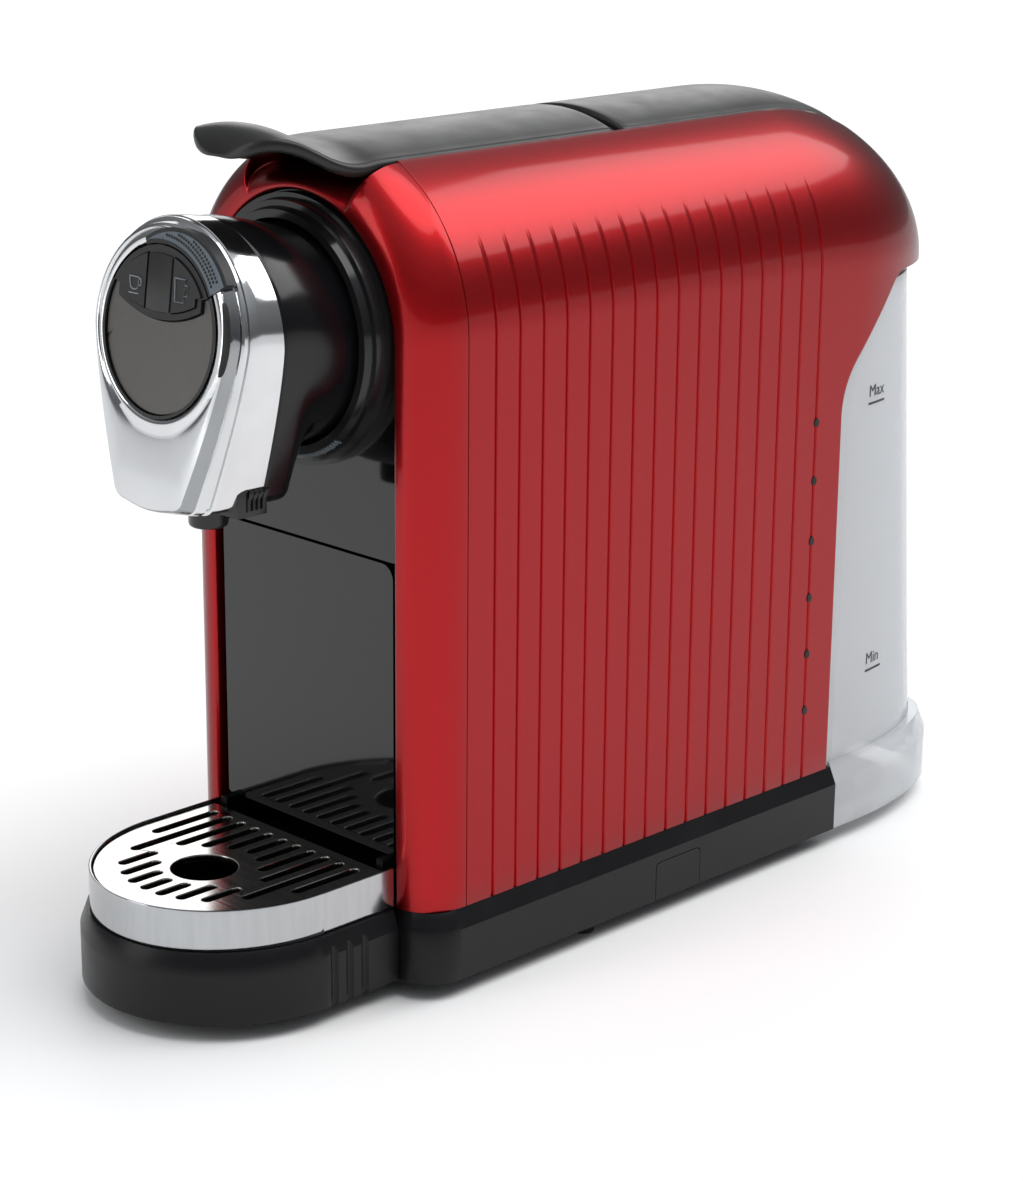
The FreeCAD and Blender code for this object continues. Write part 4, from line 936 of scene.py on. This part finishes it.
def level_mark(name, word, y0, y1, z, word_z):
    """A level line with its generic word, printed on the tank's right side."""
    rows = []
    for y in spaced(y0, y1, 10):
        x = tank_side(y, z)
        rows.append([(x - 0.1, y, z - 0.4), (x + 0.12, y, z - 0.4), (x + 0.12, y, z + 0.4),
                     (x - 0.1, y, z + 0.4)])
    make_piece(name + "_line", *closed_loft(rows), "tank", "mark_print")
    curve = bpy.data.curves.new(name, "FONT")
    curve.body = word
    curve.size = 6.2 * MM
    curve.extrude = 0.06 * MM
    text = bpy.data.objects.new(name, curve)
    bpy.context.scene.collection.objects.link(text)
    bpy.context.view_layer.update()
    mesh = bpy.data.meshes.new_from_object(text)
    bpy.data.objects.remove(text)
    points = []
    for vertex in mesh.vertices:
        y, z = y0 + vertex.co.x / MM, word_z + vertex.co.y / MM
        points.append((tank_side(y, z) + 0.05 + vertex.co.z / MM, y, z))
    faces = [tuple(polygon.vertices) for polygon in mesh.polygons]
    make_piece(name + "_word", points, faces, "tank", "mark_print", (), 30.0)


# ---- carried-over nodes ------------------------------------------------------------------------
FINISHES = {
    "black_base": ["base_chassis", "base_side_hatch", "drip_tray", "power_gland"],
    "rubber": ["rubber_feet", "dock_seal", "tank_shelf_pads", "pump_mounts"],
    "inner_plastic": ["deck_plate", "tank_shelf", "rear_bulkhead", "slot_cover", "brew_frame_right",
                      "brew_frame_left", "brew_platform", "guide_rails", "board_holder",
                      "disc_backing", "outlet_chute", "flow_meter", "capsule_cage"],
    "gloss_black": ["upper_front_panel", "capsule_bin", "disc_trim_ring"],
    "ring_grey": ["neck_ring"],
    "satin_black": ["tank_lid"],
    "dark_disc": ["face_disc"],
    "key_rubber": ["key_bezel", "espresso_key", "lungo_key"],
    "ring_chrome": ["tray_ring"],
    "grille_steel": ["drip_grille"],
    "screw_steel": ["base_screws", "lever_axle", "crank_pin", "valve_spring"],
    "heater_alloy": ["injector", "thermoblock", "heater_bracket"],
    "piston_plastic": ["brew_piston"],
    "pump_body": ["pump"],
    "hose": ["suction_hose", "pressure_hose", "dock_hose"],
    "circuit_board": ["key_board", "control_board"],
    "clear_tank": ["water_tank"],
    "valve_white": ["valve_poppet", "valve_cage"],
}


def dress_nodes():
    for finish, names in FINISHES.items():
        for name in names:
            node = NODES[name]
            node.data.materials.clear()
            node.data.materials.append(PALETTE[finish])
    for name, width in (("base_chassis", 0.5), ("drip_tray", 0.5), ("tray_ring", 0.35),
                        ("drip_grille", 0.3), ("capsule_bin", 0.6), ("face_disc", 0.35),
                        ("espresso_key", 0.35), ("lungo_key", 0.35), ("upper_front_panel", 0.4),
                        ("water_tank", 0.5)):
        weld = NODES[name].modifiers.new("weld", "WELD")
        weld.merge_threshold = 0.000005
        rounded(NODES[name], width, 2, 32.0)


# ---- stage -------------------------------------------------------------------------------------
FLOOR_HALF = 60000.0


def floor():
    rows = [[(x, y, 0.0) for x in spaced(-FLOOR_HALF, FLOOR_HALF, 9)]
            for y in spaced(-FLOOR_HALF, FLOOR_HALF, 9)]
    points, faces = grid(rows)
    mesh = bpy.data.meshes.new("floor")
    mesh.from_pydata([Vector(p) * MM for p in points], [], faces)
    finish = Finish("floor", (0.90, 0.90, 0.90), 0.6)
    finish.vary_color(finish.noise(2.0), [(0.3, (0.89, 0.89, 0.89)), (0.7, (0.91, 0.91, 0.91))])
    mesh.materials.append(finish.material)
    plane = bpy.data.objects.new("floor", mesh)
    bpy.context.scene.collection.objects.link(plane)


def softbox(name, place, target, width, height, power):
    data = bpy.data.lights.new(name, "AREA")
    data.shape = "RECTANGLE"
    data.size, data.size_y = width, height
    data.energy = power
    lamp = bpy.data.objects.new(name, data)
    lamp.location = place
    lamp.rotation_mode = "QUATERNION"
    lamp.rotation_quaternion = (Vector(target) - Vector(place)).to_track_quat("-Z", "Y")
    bpy.context.scene.collection.objects.link(lamp)


def studio():
    bpy.context.scene.view_settings.view_transform = "Standard"
    world = bpy.data.worlds.new("studio")
    bpy.context.scene.world = world
    world.use_nodes = True
    nodes, links = world.node_tree.nodes, world.node_tree.links
    direction = nodes.new("ShaderNodeTexCoord")
    parts = nodes.new("ShaderNodeSeparateXYZ")
    ramp = nodes.new("ShaderNodeValToRGB")
    ramp.color_ramp.elements[0].position = 0.0
    ramp.color_ramp.elements[0].color = (0.16, 0.165, 0.175, 1.0)
    ramp.color_ramp.elements[1].position = 0.85
    ramp.color_ramp.elements[1].color = (0.95, 0.97, 1.0, 1.0)
    middle = ramp.color_ramp.elements.new(0.35)
    middle.color = (0.34, 0.35, 0.36, 1.0)
    links.new(direction.outputs["Generated"], parts.inputs["Vector"])
    links.new(parts.outputs["Z"], ramp.inputs["Fac"])
    background = nodes["Background"]
    links.new(ramp.outputs["Color"], background.inputs["Color"])
    background.inputs["Strength"].default_value = 0.62
    sun = bpy.data.lights.new("sky_panel", "SUN")
    sun.energy = 1.75
    sun.angle = math.radians(50)
    high = bpy.data.objects.new("sky_panel", sun)
    high.rotation_euler = (math.radians(-12), math.radians(14), 0)
    bpy.context.scene.collection.objects.link(high)
    softbox("shoulder_light", (0.55, 1.15, 1.25), (0, 0, 0.22), 1.1, 0.7, 9.0)
    softbox("front_left", (-0.5, -1.4, 0.7), (0, -0.1, 0.2), 0.5, 1.3, 5.0)
    softbox("behind_left", (-2.6, 2.4, 1.4), (0, -0.1, 0.1), 2.0, 1.8, 20.0)


def camera():
    azimuth, elevation, roll = math.radians(45.17), math.radians(17.51), math.radians(0.41)
    data = bpy.data.cameras.new("camera")
    data.sensor_width = 36.0
    data.lens = 88.29
    data.shift_x, data.shift_y = 0.0177, 0.0233
    eye = bpy.data.objects.new("camera", data)
    eye.location = (0.6781, -0.6910, 0.4004)
    back = Vector((math.sin(azimuth) * math.cos(elevation),
                   -math.cos(azimuth) * math.cos(elevation), math.sin(elevation)))
    eye.rotation_mode = "QUATERNION"
    turn = (-back).to_track_quat("-Z", "Y")
    eye.rotation_quaternion = turn @ Quaternion((0, 0, 1), roll)
    bpy.context.scene.collection.objects.link(eye)
    bpy.context.scene.camera = eye


dress_nodes()
side_panels()
vent_notches()
front_frame()
lever_handle()
lever_arms()
rear_cover()
tank_lid_cap()
chrome_shell()
neck_housing()
spout_tip()
side_catch()
crescent_window()
key_icons()
neck_ticks()
level_mark("upper_mark", "Max", 116.0, 127.0, 163.0, 165.5)
level_mark("lower_mark", "Min", 121.8, 132.6, 61.0, 63.5)
floor()
studio()
camera()
